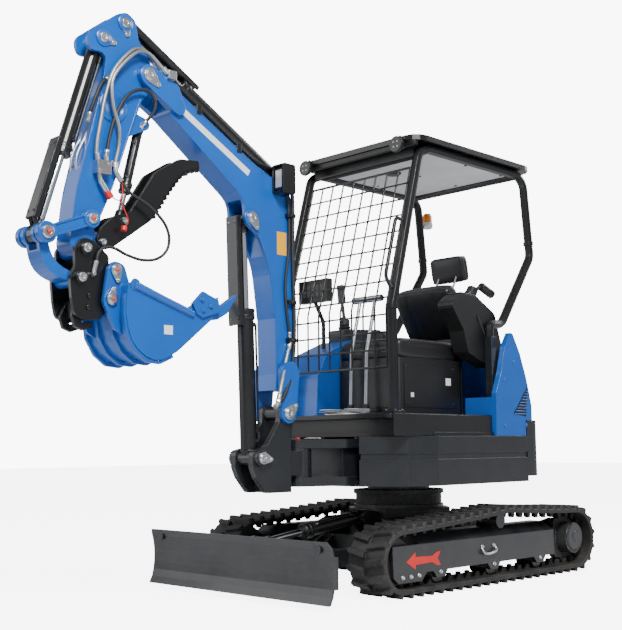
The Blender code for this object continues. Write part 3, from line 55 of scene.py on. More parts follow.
# ---- Ground reference -------------------------------------------------------------
# Lengths below are measured from the middle between the two wheel axles, which lies
# 60 mm behind the slewing centre; every piece is shifted by that one distance.
MIDDLE = PIN["house_slew"].y + 0.060


def place(name, mesh, body, material, angle=35, bevel=0.0):
    """Puts a finished mesh on its body, if any, with soft shading and an edge round."""
    if isinstance(mesh, bmesh.types.BMesh):
        data = bpy.data.meshes.new(name)
        bmesh.ops.recalc_face_normals(mesh, faces=mesh.faces)
        mesh.to_mesh(data)
        mesh.free()
        mesh = data
    mesh.transform(Matrix.Translation((0, MIDDLE, 0)))
    item = bpy.data.objects.new(name, mesh)
    bpy.context.scene.collection.objects.link(item)
    mesh.materials.append(material)
    mesh.shade_smooth()
    mesh.set_sharp_from_angle(angle=radians(angle))
    if bevel:
        edge = item.modifiers.new("edge", "BEVEL")
        edge.width = bevel
        edge.segments = 2
        edge.limit_method = "ANGLE"
        edge.angle_limit = radians(40)
        edge.harden_normals = False
    if body:
        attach(item, body)
    return item


def prism(solid, outline, low, high, axis="x"):
    """Adds an outline drawn square to one axis and stretched along it."""
    spot = {"x": lambda a, b, level: (level, a, b), "y": lambda a, b, level: (a, level, b),
            "z": lambda a, b, level: (a, b, level)}[axis]
    rings = [[solid.verts.new(spot(a, b, level)) for a, b in outline] for level in (low, high)]
    count = len(outline)
    solid.faces.new(rings[0])
    solid.faces.new(rings[1][::-1])
    for i in range(count):
        j = (i + 1) % count
        solid.faces.new((rings[0][i], rings[1][i], rings[1][j], rings[0][j]))


def block(solid, low, high):
    """Adds a box between two corners."""
    prism(solid, [(low[0], low[1]), (high[0], low[1]), (high[0], high[1]),
                  (low[0], high[1])], low[2], high[2], "z")


def turned(solid, profile, centre, along, sides=24):
    """Adds a body of revolution: profile pairs are (radius, distance along the axis)."""
    along = Vector(along).normalized()
    across = along.orthogonal().normalized()
    other = along.cross(across)
    rings = []
    for radius, distance in profile:
        middle = Vector(centre) + along * distance
        if radius < 1e-6:
            rings.append([solid.verts.new(middle)])
            continue
        rings.append([solid.verts.new(middle + (across * cos(2 * pi * k / sides)
                                                + other * sin(2 * pi * k / sides)) * radius)
                      for k in range(sides)])
    for first, second in zip(rings, rings[1:]):
        for k in range(sides):
            j = (k + 1) % sides
            if len(first) == 1 and len(second) == 1:
                continue
            if len(first) == 1:
                solid.faces.new((first[0], second[k], second[j]))
            elif len(second) == 1:
                solid.faces.new((first[k], second[0], first[j]))
            else:
                solid.faces.new((first[k], second[k], second[j], first[j]))
    for ring, flip in ((rings[0], True), (rings[-1], False)):
        if len(ring) > 1:
            solid.faces.new(ring if flip else ring[::-1])


def stick(solid, start, end, radius, sides=20):
    """Adds a plain round bar with a small chamfer at both ends."""
    length = (Vector(end) - Vector(start)).length
    edge = min(radius * 0.15, length * 0.2)
    turned(solid, [(radius - edge, 0), (radius, edge), (radius, length - edge),
                   (radius - edge, length)], start, Vector(end) - Vector(start), sides)


def smooth_path(points, step=0.012):
    """A Catmull-Rom line through the points, sampled about every step."""
    points = [Vector(p) for p in points]
    ends = [points[0] * 2 - points[1]] + points + [points[-1] * 2 - points[-2]]
    line = []
    for a, b, c, d in zip(ends, ends[1:], ends[2:], ends[3:]):
        parts = max(2, int((c - b).length / step))
        for k in range(parts):
            t = k / parts
            line.append(0.5 * (2 * b + (c - a) * t + (2 * a - 5 * b + 4 * c - d) * t * t
                               + (3 * b - a - 3 * c + d) * t * t * t))
    line.append(points[-1])
    return line


def sweep(solid, line, radius, sides=10, rib=0.0):
    """Adds a tube along a line; rib swells every other ring, as a wrapped hose does."""
    side = None
    rings = []
    for index, point in enumerate(line):
        ahead = line[min(index + 1, len(line) - 1)] - line[max(index - 1, 0)]
        ahead.normalize()
        if side is None:
            side = ahead.orthogonal().normalized()
        side = (side - ahead * side.dot(ahead)).normalized()
        other = ahead.cross(side)
        size = radius * (1 + rib * (index % 2))
        rings.append([solid.verts.new(point + (side * cos(2 * pi * k / sides)
                                               + other * sin(2 * pi * k / sides)) * size)
                      for k in range(sides)])
    for first, second in zip(rings, rings[1:]):
        for k in range(sides):
            j = (k + 1) % sides
            solid.faces.new((first[k], first[j], second[j], second[k]))
    solid.faces.new(rings[0][::-1])
    solid.faces.new(rings[-1])


def bolt(solid, centre, along, size=0.008):
    """Adds a hexagon head on its washer."""
    turned(solid, [(size * 1.25, 0), (size * 1.25, size * 0.22)], centre, along, 16)
    turned(solid, [(size, 0), (size, size * 0.75), (size * 0.86, size * 0.9)], centre,
           along, 6)


# ---- Surface effects shared by the paints, the castings and the rubber --------------
# Three node groups: worn edges where paint rubs off, dust that settles low down and on
# upper faces, and the fine unevenness of sprayed or cast surfaces.
def new_group(name, inputs, outputs):
    """A shader node group with float or colour sockets."""
    group = bpy.data.node_groups.new(name, "ShaderNodeTree")
    for socket, kind, value in inputs:
        made = group.interface.new_socket(name=socket, in_out="INPUT", socket_type=kind)
        made.default_value = value
    for socket, kind in outputs:
        group.interface.new_socket(name=socket, in_out="OUTPUT", socket_type=kind)
    enter = group.nodes.new("NodeGroupInput")
    leave = group.nodes.new("NodeGroupOutput")
    return group, enter, leave


def wire(tree, *pairs):
    """Links output sockets to input sockets."""
    for start, end in pairs:
        tree.links.new(start, end)


def math_node(tree, kind, *values, clamp=False):
    """A math node whose inputs are numbers or sockets."""
    node = tree.nodes.new("ShaderNodeMath")
    node.operation = kind
    node.use_clamp = clamp
    for index, value in enumerate(values):
        if isinstance(value, (int, float)):
            node.inputs[index].default_value = value
        else:
            tree.links.new(value, node.inputs[index])
    return node.outputs[0]


def noise_node(tree, scale, detail=3.0, rough=0.6, stretch=None):
    """Noise in object space; stretch squashes it along chosen axes."""
    where = tree.nodes.new("ShaderNodeTexCoord").outputs["Object"]
    if stretch:
        mapping = tree.nodes.new("ShaderNodeMapping")
        mapping.inputs["Scale"].default_value = stretch
        tree.links.new(where, mapping.inputs["Vector"])
        where = mapping.outputs["Vector"]
    node = tree.nodes.new("ShaderNodeTexNoise")
    node.inputs["Scale"].default_value = scale
    node.inputs["Detail"].default_value = detail
    node.inputs["Roughness"].default_value = rough
    tree.links.new(where, node.inputs["Vector"])
    return node.outputs["Fac"]


def ramp(tree, value, low, high):
    """Maps a value from low..high to 0..1, clamped."""
    node = tree.nodes.new("ShaderNodeMapRange")
    node.inputs["From Min"].default_value = low
    node.inputs["From Max"].default_value = high
    tree.links.new(value, node.inputs["Value"])
    return node.outputs["Result"]


def mix_colour(tree, share, first, second):
    """A colour mix whose inputs are colours or sockets."""
    node = tree.nodes.new("ShaderNodeMix")
    node.data_type = "RGBA"
    for index, value in ((0, share), (6, first), (7, second)):
        if isinstance(value, (int, float)):
            node.inputs[index].default_value = value
        elif isinstance(value, tuple):
            node.inputs[index].default_value = (*value, 1.0) if len(value) == 3 else value
        else:
            tree.links.new(value, node.inputs[index])
    return node.outputs[2]


def edge_wear_group():
    """Worn Mask is 1 on rubbed corners; Round Normal softens every sharp edge."""
    group, enter, leave = new_group(
        "worn edges", [("Amount", "NodeSocketFloat", 0.5), ("Radius", "NodeSocketFloat", 0.004)],
        [("Mask", "NodeSocketFloat"), ("Round Normal", "NodeSocketVector")])
    bevel = group.nodes.new("ShaderNodeBevel")
    bevel.samples = 4
    shape = group.nodes.new("ShaderNodeNewGeometry")
    dot = group.nodes.new("ShaderNodeVectorMath")
    dot.operation = "DOT_PRODUCT"
    wire(group, (enter.outputs["Radius"], bevel.inputs["Radius"]),
         (bevel.outputs["Normal"], dot.inputs[0]), (shape.outputs["Normal"], dot.inputs[1]))
    turn = math_node(group, "SUBTRACT", 1.0, dot.outputs["Value"])
    blot = ramp(group, noise_node(group, 38.0, 5.0, 0.7), 0.42, 0.66)
    raw = math_node(group, "MULTIPLY", math_node(group, "MULTIPLY", turn, blot), 9.0)
    mask = math_node(group, "MULTIPLY", raw, enter.outputs["Amount"], clamp=True)
    wire(group, (mask, leave.inputs["Mask"]),
         (bevel.outputs["Normal"], leave.inputs["Round Normal"]))
    return group


def dust_group():
    """Dust Mask grows towards the ground and on faces that look up."""
    group, enter, leave = new_group(
        "settled dust", [("Amount", "NodeSocketFloat", 0.3), ("Top", "NodeSocketFloat", 0.7)],
        [("Mask", "NodeSocketFloat")])
    shape = group.nodes.new("ShaderNodeNewGeometry")
    split = group.nodes.new("ShaderNodeSeparateXYZ")
    face = group.nodes.new("ShaderNodeSeparateXYZ")
    wire(group, (shape.outputs["Position"], split.inputs[0]),
         (shape.outputs["Normal"], face.inputs[0]))
    low = math_node(group, "SUBTRACT", 1.0,
                    math_node(group, "DIVIDE", split.outputs["Z"], enter.outputs["Top"]),
                    clamp=True)
    up = math_node(group, "MULTIPLY", ramp(group, face.outputs["Z"], 0.2, 1.0), 0.5)
    patch = ramp(group, noise_node(group, 7.0, 6.0, 0.65), 0.35, 0.75)
    total = math_node(group, "MULTIPLY", math_node(group, "ADD", low, up), patch)
    mask = math_node(group, "MULTIPLY", total, enter.outputs["Amount"], clamp=True)
    wire(group, (mask, leave.inputs["Mask"]))
    return group


def grain_group():
    """Height of fine surface unevenness, a broad ripple plus a sharp grain."""
    group, enter, leave = new_group(
        "surface grain", [("Fine", "NodeSocketFloat", 0.5), ("Broad", "NodeSocketFloat", 0.5)],
        [("Height", "NodeSocketFloat"), ("Tone", "NodeSocketFloat")])
    fine = noise_node(group, 420.0, 2.0, 0.5)
    broad = noise_node(group, 26.0, 3.0, 0.5)
    tone = noise_node(group, 3.5, 4.0, 0.6)
    height = math_node(group, "ADD", math_node(group, "MULTIPLY", fine, enter.outputs["Fine"]),
                       math_node(group, "MULTIPLY", broad, enter.outputs["Broad"]))
    wire(group, (height, leave.inputs["Height"]), (tone, leave.inputs["Tone"]))
    return group


WORN_EDGES, SETTLED_DUST, SURFACE_GRAIN = edge_wear_group(), dust_group(), grain_group()
DUST = (0.330, 0.285, 0.225)


def use(tree, group, **values):
    """Places a group node with its own values."""
    node = tree.nodes.new("ShaderNodeGroup")
    node.node_tree = group
    for name, value in values.items():
        node.inputs[name.replace("_", " ").title()].default_value = value
    return node


def finish(name, colour, rough=0.4, metal=0.0, coat=0.0, wear=0.0, bare=(0.45, 0.45, 0.46),
           dust=0.0, top=0.6, fine=0.3, broad=0.3, bump=0.15, radius=0.004, tone=0.12,
           coat_rough=0.12, distance=0.001):
    """A procedural finish from the three shared effects and its own constants."""
    material = bpy.data.materials.new(name)
    material.use_nodes = True
    tree = material.node_tree
    shader = tree.nodes["Principled BSDF"]
    shader.inputs["Coat Weight"].default_value = coat
    shader.inputs["Coat Roughness"].default_value = coat_rough
    grain = use(tree, SURFACE_GRAIN, fine=fine, broad=broad)
    dark = tuple(c * (1 - tone) for c in colour)
    light = tuple(min(1.0, c * (1 + tone)) for c in colour)
    base = mix_colour(tree, ramp(tree, grain.outputs["Tone"], 0.3, 0.7), dark, light)
    roughness = math_node(tree, "MULTIPLY_ADD", grain.outputs["Tone"], 0.14, rough - 0.07)
    edges = use(tree, WORN_EDGES, amount=wear, radius=radius)
    if wear:
        base = mix_colour(tree, edges.outputs["Mask"], base, bare)
        metal_out = math_node(tree, "MAXIMUM", edges.outputs["Mask"], metal)
        tree.links.new(metal_out, shader.inputs["Metallic"])
    else:
        shader.inputs["Metallic"].default_value = metal
    if dust:
        settled = use(tree, SETTLED_DUST, amount=dust, top=top)
        base = mix_colour(tree, settled.outputs["Mask"], base, DUST)
        roughness = math_node(tree, "MULTIPLY_ADD", settled.outputs["Mask"], 0.45, roughness,
                              clamp=True)
    relief = tree.nodes.new("ShaderNodeBump")
    relief.inputs["Strength"].default_value = bump
    relief.inputs["Distance"].default_value = distance
    wire(tree, (base, shader.inputs["Base Color"]), (roughness, shader.inputs["Roughness"]),
         (grain.outputs["Height"], relief.inputs["Height"]),
         (edges.outputs["Round Normal"], relief.inputs["Normal"]),
         (relief.outputs["Normal"], shader.inputs["Normal"]))
    return material


def repaint(material, *nodes):
    """Gives carried-over solids their finish."""
    for node in nodes:
        NODES[node].data.materials.clear()
        NODES[node].data.materials.append(material)


# ---- Paints and bare metals ---------------------------------------------------------
# Sky blue and anthracite two-pack paint over steel, powder coat on the canopy and
# guards, hard chrome on the rods, bright aluminium and dark castings.
SKY_BLUE = finish("sky blue paint", (0.001, 0.088, 0.400), 0.30, coat=0.18, wear=0.22,
                  bare=(0.12, 0.20, 0.34), dust=0.02, top=0.9, fine=0.10, broad=0.5,
                  bump=0.10, tone=0.06)
ANTHRACITE = finish("anthracite paint", (0.010, 0.012, 0.015), 0.36, coat=0.25, wear=0.30,
                    bare=(0.14, 0.14, 0.15), dust=0.06, top=0.8, bump=0.14, tone=0.15)
POWDER_BLACK = finish("black powder coat", (0.004, 0.0045, 0.005), 0.32, coat=0.20, wear=0.25,
                      bare=(0.10, 0.10, 0.10), dust=0.04, fine=0.8, broad=0.15, bump=0.16)
CHROME = finish("hard chrome", (0.72, 0.73, 0.75), 0.12, metal=1.0, fine=0.05, broad=0.1,
                bump=0.03, tone=0.05)
ALUMINIUM = finish("drawn aluminium", (0.66, 0.67, 0.68), 0.30, metal=1.0, fine=0.3,
                   bump=0.08)
DARK_CAST = finish("dark casting", (0.014, 0.015, 0.017), 0.50, wear=0.4, dust=0.15,
                   fine=0.8, broad=0.8, bump=0.35)
repaint(SKY_BLUE, "boom", "arm", "bucket", "curved_link", "side_links", "rear_cover_left",
        "rear_cover_right", "tank_cover")
repaint(ANTHRACITE, "carbody", "track_frame_left", "track_frame_right", "blade",
        "house_frame", "side_skirt_left", "side_skirt_right", "counterweight", "swing_post")
repaint(POWDER_BLACK, "boom_light", "canopy_frame", "roof", "grab_handle", "quick_coupler",
        "thumb", "engine_deck", "floor_plate")
for cylinder in ("boom", "arm", "bucket", "thumb", "blade"):
    repaint(POWDER_BLACK, cylinder + "_cylinder_barrel")
repaint(DARK_CAST, "front_idler_left", "front_idler_right", "drive_sprocket_left",
        "drive_sprocket_right", "slew_ring", "engine_block")

# ---- Rubber tracks --------------------------------------------------------------------
# A steel-cored rubber belt with staggered chevron lugs outside and guide horns inside,
# moulded in one loop and stretched round the idler, the carrier roller and the sprocket.
AXLE, IDLER_R, SPROCKET_R = 0.750, 0.148, 0.162
CARRIER_AT, CARRIER_R, BELT_THICK, LUG_HIGH, LUGS = 0.100, 0.020, 0.022, 0.020, 53
SHOE_IN, SHOE_OUT = 0.397, 0.627
LOW_LINE = 0.020


def belt_line():
    """The belt's outer face from the side, as points (y, z) going round the loop."""
    line = []
    idler = (-AXLE, LOW_LINE + IDLER_R)
    drive = (AXLE, LOW_LINE + SPROCKET_R)
    carrier = (CARRIER_AT, 0.376 - CARRIER_R)
    circles = [(idler, IDLER_R), (carrier, CARRIER_R), (drive, SPROCKET_R)]
    stretches = []
    for (a, ra), (b, rb) in zip(circles, circles[1:] + circles[:1]):
        way = Vector((b[0] - a[0], b[1] - a[1]))
        lean = (ra - rb) / way.length
        along = way.normalized()
        normal = Vector((-along.y, along.x))
        out = normal * (1 - lean * lean) ** 0.5 + along * lean
        stretches.append((Vector(a) + out * ra, Vector(b) + out * rb, out))
    for index, (start, end, out) in enumerate(stretches):
        centre, radius = circles[(index + 1) % 3]
        count = max(2, int((end - start).length / 0.03))
        sag = 0.004 if index < 2 else 0.0
        for k in range(count):
            t = k / count
            line.append(start.lerp(end, t) + Vector((0, -sag * sin(pi * t))))
        turn = atan2(out.y, out.x)
        following = stretches[(index + 1) % 3][2]
        stop = atan2(following.y, following.x)
        while stop > turn:
            stop -= 2 * pi
        arcs = max(1, int((turn - stop) * radius / 0.02))
        for k in range(arcs):
            angle = turn + (stop - turn) * k / arcs
            line.append(Vector(centre) + Vector((cos(angle), sin(angle))) * radius)
    return line


def along_belt(line):
    """Total length and a function from distance to point and outward normal."""
    lengths = [(b - a).length for a, b in zip(line, line[1:] + line[:1])]
    total = sum(lengths)

    def spot(distance):
        distance %= total
        for index, length in enumerate(lengths):
            if distance <= length:
                a, b = line[index], line[(index + 1) % len(line)]
                along = (b - a).normalized()
                return a.lerp(b, distance / length), Vector((-along.y, along.x))
            distance -= length
        return line[0], Vector((0, 1))
    return total, spot


def rubber_track(side):
    """Belt, lugs and horns of one track as a single mesh."""
    solid = bmesh.new()
    line = belt_line()
    total, spot = along_belt(line)
    x_mid = (SHOE_IN + SHOE_OUT) / 2
    half = (SHOE_OUT - SHOE_IN) / 2
    section = [(-half, 0.004), (-half + 0.006, 0.0), (half - 0.006, 0.0), (half, 0.004),
               (half - 0.004, BELT_THICK), (-half + 0.004, BELT_THICK)]
    steps = LUGS * 4
    rings = []
    for k in range(steps):
        point, normal = spot(total * k / steps)
        rings.append([solid.verts.new((side * (x_mid + x), *(point - normal * depth)))
                      for x, depth in section])
    for first, second in zip(rings, rings[1:] + rings[:1]):
        for i in range(6):
            j = (i + 1) % 6
            solid.faces.new((first[i], second[i], second[j], first[j]))
    pitch = total / LUGS
    for k in range(LUGS):
        for hand in (-1, 1):
            shift = 0.0 if hand > 0 else 0.5
            lug = []
            for level, grow in ((-0.004, 1.0), (LUG_HIGH - 0.003, 0.72),
                                (LUG_HIGH - 0.0005, 0.60)):
                ring = []
                for x, lean in ((0.006, -1), (half - 0.012, -1), (half, -0.4),
                                (half, 0.6), (half - 0.012, 1), (0.006, 1)):
                    slant = (x / half) * 0.26 * pitch
                    run = lean * pitch * 0.235 * grow + slant
                    point, normal = spot((k + shift) * pitch + run)
                    reach = x if level < 0 else min(x, half - 0.004)
                    at = point + normal * level
                    ring.append(solid.verts.new((side * (x_mid + hand * reach), *at)))
                lug.append(ring)
            for first, second in zip(lug, lug[1:]):
                for i in range(6):
                    j = (i + 1) % 6
                    solid.faces.new((first[i], first[j], second[j], second[i]))
            solid.faces.new(lug[-1])
            solid.faces.new(lug[0][::-1])
        for hand in (-1, 1):
            point, normal = spot((k + 0.25) * pitch)
            along = Vector((-normal.y, normal.x))
            horn = []
            for depth, wide in ((BELT_THICK - 0.002, 0.017), (BELT_THICK + 0.026, 0.009)):
                ring = []
                for dx, da in ((-1, -1), (1, -1), (1, 1), (-1, 1)):
                    at = point - normal * depth + along * da * wide
                    ring.append(solid.verts.new((side * (x_mid + hand * 0.030 + dx * 0.009),
                                                 *at)))
                horn.append(ring)
            for i in range(4):
                j = (i + 1) % 4
                solid.faces.new((horn[0][i], horn[0][j], horn[1][j], horn[1][i]))
            solid.faces.new(horn[1])
            solid.faces.new(horn[0][::-1])
    return solid


TRACK_RUBBER = finish("track rubber", (0.008, 0.008, 0.009), 0.58, wear=0.0, dust=0.12,
                      top=0.5, fine=0.7, broad=0.9, bump=0.35, radius=0.006, tone=0.3)
for side, hand in ((1, "left"), (-1, "right")):
    loop = place("rubber_track_" + hand, rubber_track(side), "undercarriage", TRACK_RUBBER,
                 30)
    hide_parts("track_" + hand)

# ---- Pins and hydraulic cylinders ------------------------------------------------------
# Zinc-plated pins end in round caps with a bolted teardrop flag; each cylinder is a
# painted barrel with a turned gland, a steel feed pipe, a chromed rod and a forged eye,
# and three of the rods carry a folded sheet guard.
PIN_ZINC = finish("pin zinc", (0.62, 0.63, 0.64), 0.30, metal=1.0, wear=0.4, dust=0.12,
                  fine=0.4, broad=0.4, bump=0.1)
GUARD_PAINT = finish("guard paint", (0.007, 0.008, 0.009), 0.34, coat=0.2, wear=0.35,
                     bare=(0.3, 0.3, 0.3), dust=0.12, bump=0.12)
RED_PLASTIC = finish("red plastic", (0.62, 0.012, 0.012), 0.35, bump=0.08, tone=0.1)


def pin_caps(name, pin, half, body, radius, flag):
    """Caps on a cross pin's two ends; flag is the angle of the teardrop plate."""
    solid = bmesh.new()
    for hand in (-1, 1):
        face = (hand * half, *pin)
        if flag is not None:
            way = Vector((0, cos(radians(flag)), sin(radians(flag))))
            across = Vector((0, -way.z, way.y))
            tip = Vector(face) + way * radius * 1.9
            rim = [Vector(face) + (way * cos(t) + across * sin(t)) * radius * 1.12
                   for t in [pi * 0.40 + k * pi * 1.2 / 12 for k in range(13)]]
            rim += [tip + (way * cos(t) + across * sin(t)) * radius * 0.42
                    for t in [-pi * 0.4 + k * pi * 0.8 / 6 for k in range(7)]]
            prism(solid, [(p.y, p.z) for p in rim], face[0], face[0] + hand * 0.006)
            bolt(solid, tip + Vector((hand * 0.006, 0, 0)), (hand, 0, 0), 0.007)
        turned(solid, [(radius * 0.86, 0), (radius * 0.86, 0.009), (radius * 0.74, 0.013),
                       (radius * 0.34, 0.013), (radius * 0.28, 0.009), (0, 0.009)],
               face, (hand, 0, 0), 28)
    return place(name, solid, body, PIN_ZINC, angle=30)


def grease_dots(name, pins, half, body):
    """Red dust plugs in the middle of the pin ends."""
    solid = bmesh.new()
    for pin in pins:
        for hand in (-1, 1):
            turned(solid, [(0.009, 0), (0.009, 0.004), (0.005, 0.008), (0, 0.009)],
                   (hand * half, *pin), (hand, 0, 0), 14)
    return place(name, solid, body, RED_PLASTIC)


BLADE_BASE, BLADE_EYE = (-0.375, 0.335), (-1.085, 0.245)
LIFT_BASE, LIFT_EYE = (-1.160, 0.652), (-1.200, 1.815)
ARM_BASE, ARM_EYE = (-0.970, 2.053), (-1.945, 2.601)
CURL_BASE, CURL_EYE = (-2.058, 2.503), (-2.340, 1.590)
THUMB_BASE, THUMB_EYE = (-1.825, 2.160), (-1.935, 1.700)
FOOT_PIN, ELBOW, TIP_PIN = (-0.985, 0.868), (-1.830, 2.379), (-2.158, 1.545)
LINK_PIN, COUPLER_PIN, THUMB_PIN = (-2.125, 1.676), (-2.180, 1.418), (-2.045, 1.590)
BUCKET_PINS = ((-2.020, 1.462), (-2.040, 1.335))
SIDE_LINK_FACE, COUPLER_FACE, EAR_FACE = 0.0915, 0.1025, 0.1185


def dress_cylinder(name, base, eye, mouth, barrel, rod_radius, foot, eye_radius, half,
                   guard=None, pipe_side=1):
    """Gland, feed pipe and ports on the barrel; a new rod with its eye and guard."""
    low, high = Vector((0, *base)), Vector((0, *eye))
    total = (high - low).length
    ahead = (high - low) / total
    side = Vector((0, -ahead.z, ahead.y))
    gland = bmesh.new()
    turned(gland, [(barrel + 0.0055, mouth - 0.046), (barrel + 0.007, mouth - 0.042),
                   (barrel + 0.007, mouth - 0.030), (barrel + 0.0045, mouth - 0.027),
                   (barrel + 0.0045, mouth - 0.012), (barrel + 0.007, mouth - 0.009),
                   (barrel + 0.007, mouth - 0.001), (barrel + 0.004, mouth + 0.003),
                   (rod_radius + 0.003, mouth + 0.003), (rod_radius + 0.003, mouth + 0.001)],
           low, ahead, 32)
    turned(gland, [(barrel + 0.001, barrel * 0.8), (barrel + 0.004, barrel * 0.8 + 0.005),
                   (barrel + 0.001, barrel * 0.8 + 0.010)], low, ahead, 32)
    x = pipe_side * barrel * 0.72
    out = side * (barrel * 0.80 if guard and guard[2] < 0 else -barrel * 0.80)
    port_low = low + ahead * (barrel + 0.040)
    port_high = low + ahead * (mouth - 0.075)
    for port in (port_low, port_high):
        stick(gland, port + Vector((x * 0.4, 0, 0)) + out * 0.4,
              port + Vector((x, 0, 0)) + out * 1.0 + Vector((x, 0, 0)) * 0.25, 0.011, 12)
    away = Vector((x * 1.25, 0, 0)) + out * 1.02
    start = low + ahead * (barrel + 0.075) + away
    sweep(gland, smooth_path([start, start + ahead * 0.05, port_high + away - ahead * 0.04,
                              port_high + away - ahead * 0.008,
                              port_high + Vector((x, 0, 0)) + out], 0.02), 0.0055, 8)
    stick(gland, start - ahead * 0.028, start + ahead * 0.004, 0.0095, 6)
    place(name + "_cylinder_gland", gland, name + "_cylinder_barrel", POWDER_BLACK)
    shaft = bmesh.new()
    stick(shaft, low + ahead * foot, high - ahead * eye_radius * 0.7, rod_radius, 32)
    rod = place(name + "_chrome_rod", shaft, name + "_cylinder_rod", CHROME)
    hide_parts(name + "_cylinder_rod")
    forged = bmesh.new()
    turned(forged, [(eye_radius * 0.55, -half), (eye_radius - 0.003, -half),
                    (eye_radius, -half + 0.003), (eye_radius, half - 0.003),
                    (eye_radius - 0.003, half), (eye_radius * 0.55, half)],
           high, (1, 0, 0), 32)
    turned(forged, [(rod_radius + 0.004, total - eye_radius - 0.030),
                    (rod_radius + 0.007, total - eye_radius - 0.024),
                    (rod_radius + 0.009, total - eye_radius + 0.004)], low, ahead, 24)
    place(name + "_rod_eye", forged, name + "_cylinder_rod", POWDER_BLACK)
    if guard:
        begin, end, rise, width = guard
        way = side if rise > 0 else -side
        rise = abs(rise)
        lip, thick = 0.022, 0.004
        section = [(-width, rise - lip), (-width + thick, rise - lip),
                   (-width + thick, rise), (width - thick, rise), (width - thick, rise - lip),
                   (width, rise - lip), (width, rise + thick * 0.4),
                   (width - thick, rise + thick), (-width + thick, rise + thick),
                   (-width, rise + thick * 0.4)]
        cover = bmesh.new()
        rings = [[cover.verts.new(low + ahead * at + Vector((a, 0, 0)) + way * b)
                  for a, b in section] for at in (begin, end)]
        for i in range(len(section)):
            j = (i + 1) % len(section)
            cover.faces.new((rings[0][i], rings[0][j], rings[1][j], rings[1][i]))
        for ring in rings:
            cover.faces.new(ring)
        hold = min(end, total) - 0.018
        for x in (-width * 0.5, width * 0.5):
            stick(cover, high - ahead * 0.004 + Vector((x, 0, 0)),
                  low + ahead * hold + way * (rise - 0.004) + Vector((x, 0, 0)), 0.010, 12)
        for at in (begin + 0.03, end - 0.03):
            for x in (-width * 0.55, width * 0.55):
                bolt(cover, low + ahead * at + way * (rise + thick) + Vector((x, 0, 0)), way,
                     0.006)
        place(name + "_rod_guard", cover, name + "_cylinder_rod", GUARD_PAINT, angle=30)


dress_cylinder("boom", LIFT_BASE, LIFT_EYE, 0.720, 0.041, 0.020, 0.440, 0.036, 0.0464,
               (0.640, 1.1737, 0.070, 0.041))
dress_cylinder("arm", ARM_BASE, ARM_EYE, 0.720, 0.036, 0.019, 0.650, 0.036, 0.0356,
               (0.640, 1.0985, -0.052, 0.036), pipe_side=-1)
dress_cylinder("bucket", CURL_BASE, CURL_EYE, 0.575, 0.033, 0.017, 0.420, 0.036, 0.0300,
               (0.520, 0.8976, -0.050, 0.036))
dress_cylinder("thumb", THUMB_BASE, THUMB_EYE, 0.330, 0.022, 0.013, 0.100, 0.024, 0.0320)
dress_cylinder("blade", BLADE_BASE, BLADE_EYE, 0.430, 0.034, 0.018, 0.220, 0.030, 0.0360)

for name, pin, half, body, radius, flag in (
        ("boom_foot_caps", FOOT_PIN, 0.1005, "boom", 0.030, 40),
        ("lift_base_caps", LIFT_BASE, 0.1023, "swing_post", 0.026, -8),
        ("boom_eye_caps", LIFT_EYE, 0.0765, "boom", 0.028, -60),
        ("arm_base_caps", ARM_BASE, 0.0585, "boom", 0.022, 150),
        ("elbow_caps", ELBOW, 0.0865, "boom", 0.030, -38),
        ("arm_head_caps", ARM_EYE, 0.0555, "arm", 0.028, -80),
        ("curl_base_caps", CURL_BASE, 0.0555, "arm", 0.028, -12),
        ("side_link_caps", CURL_EYE, SIDE_LINK_FACE, "side_links", 0.034, None),
        ("link_pin_caps", LINK_PIN, SIDE_LINK_FACE, "side_links", 0.028, None),
        ("coupler_top_caps", TIP_PIN, COUPLER_FACE, "bucket", 0.024, None),
        ("coupler_link_caps", COUPLER_PIN, COUPLER_FACE, "bucket", 0.024, None),
        ("bucket_pin_caps_a", BUCKET_PINS[0], EAR_FACE, "bucket", 0.024, -80),
        ("bucket_pin_caps_b", BUCKET_PINS[1], EAR_FACE, "bucket", 0.024, 80),
        ("thumb_pin_caps", THUMB_PIN, 0.0495, "thumb", 0.018, None),
        ("thumb_eye_caps", THUMB_EYE, 0.0495, "thumb", 0.018, None),
        ("blade_eye_caps", BLADE_EYE, 0.0575, "blade", 0.018, None)):
    pin_caps(name, pin, half, body, radius, flag)
grease_dots("side_link_plugs", (CURL_EYE, LINK_PIN), SIDE_LINK_FACE + 0.009, "side_links")
grease_dots("bucket_plugs", BUCKET_PINS, EAR_FACE + 0.009, "bucket")

# ---- Boom pipes ----------------------------------------------------------------------
# Two black steel pipes run along the back of the painted box section. Two bolted clamps
# hold them, and they feed the braided hoses that arch over the elbow.
HOSE_RUBBER = finish("hose rubber", (0.014, 0.014, 0.015), 0.55, fine=0.8, bump=0.3,
                     tone=0.2, dust=0.08)
HOSE_BRAID = finish("hose braid", (0.33, 0.34, 0.34), 0.36, metal=0.7, fine=0.9, bump=0.4,
                    tone=0.2)
WHITE_FILM = finish("white film", (0.80, 0.81, 0.82), 0.35, fine=0.1, bump=0.03, tone=0.03)
YELLOW_FILM = finish("yellow film", (0.85, 0.42, 0.01), 0.38, fine=0.1, bump=0.03, tone=0.05)
BOOM_HALF, FILM = 0.066, 0.0006
FILM_LOW, FILM_HIGH = BOOM_HALF + 0.0002, BOOM_HALF + 0.0002 + FILM


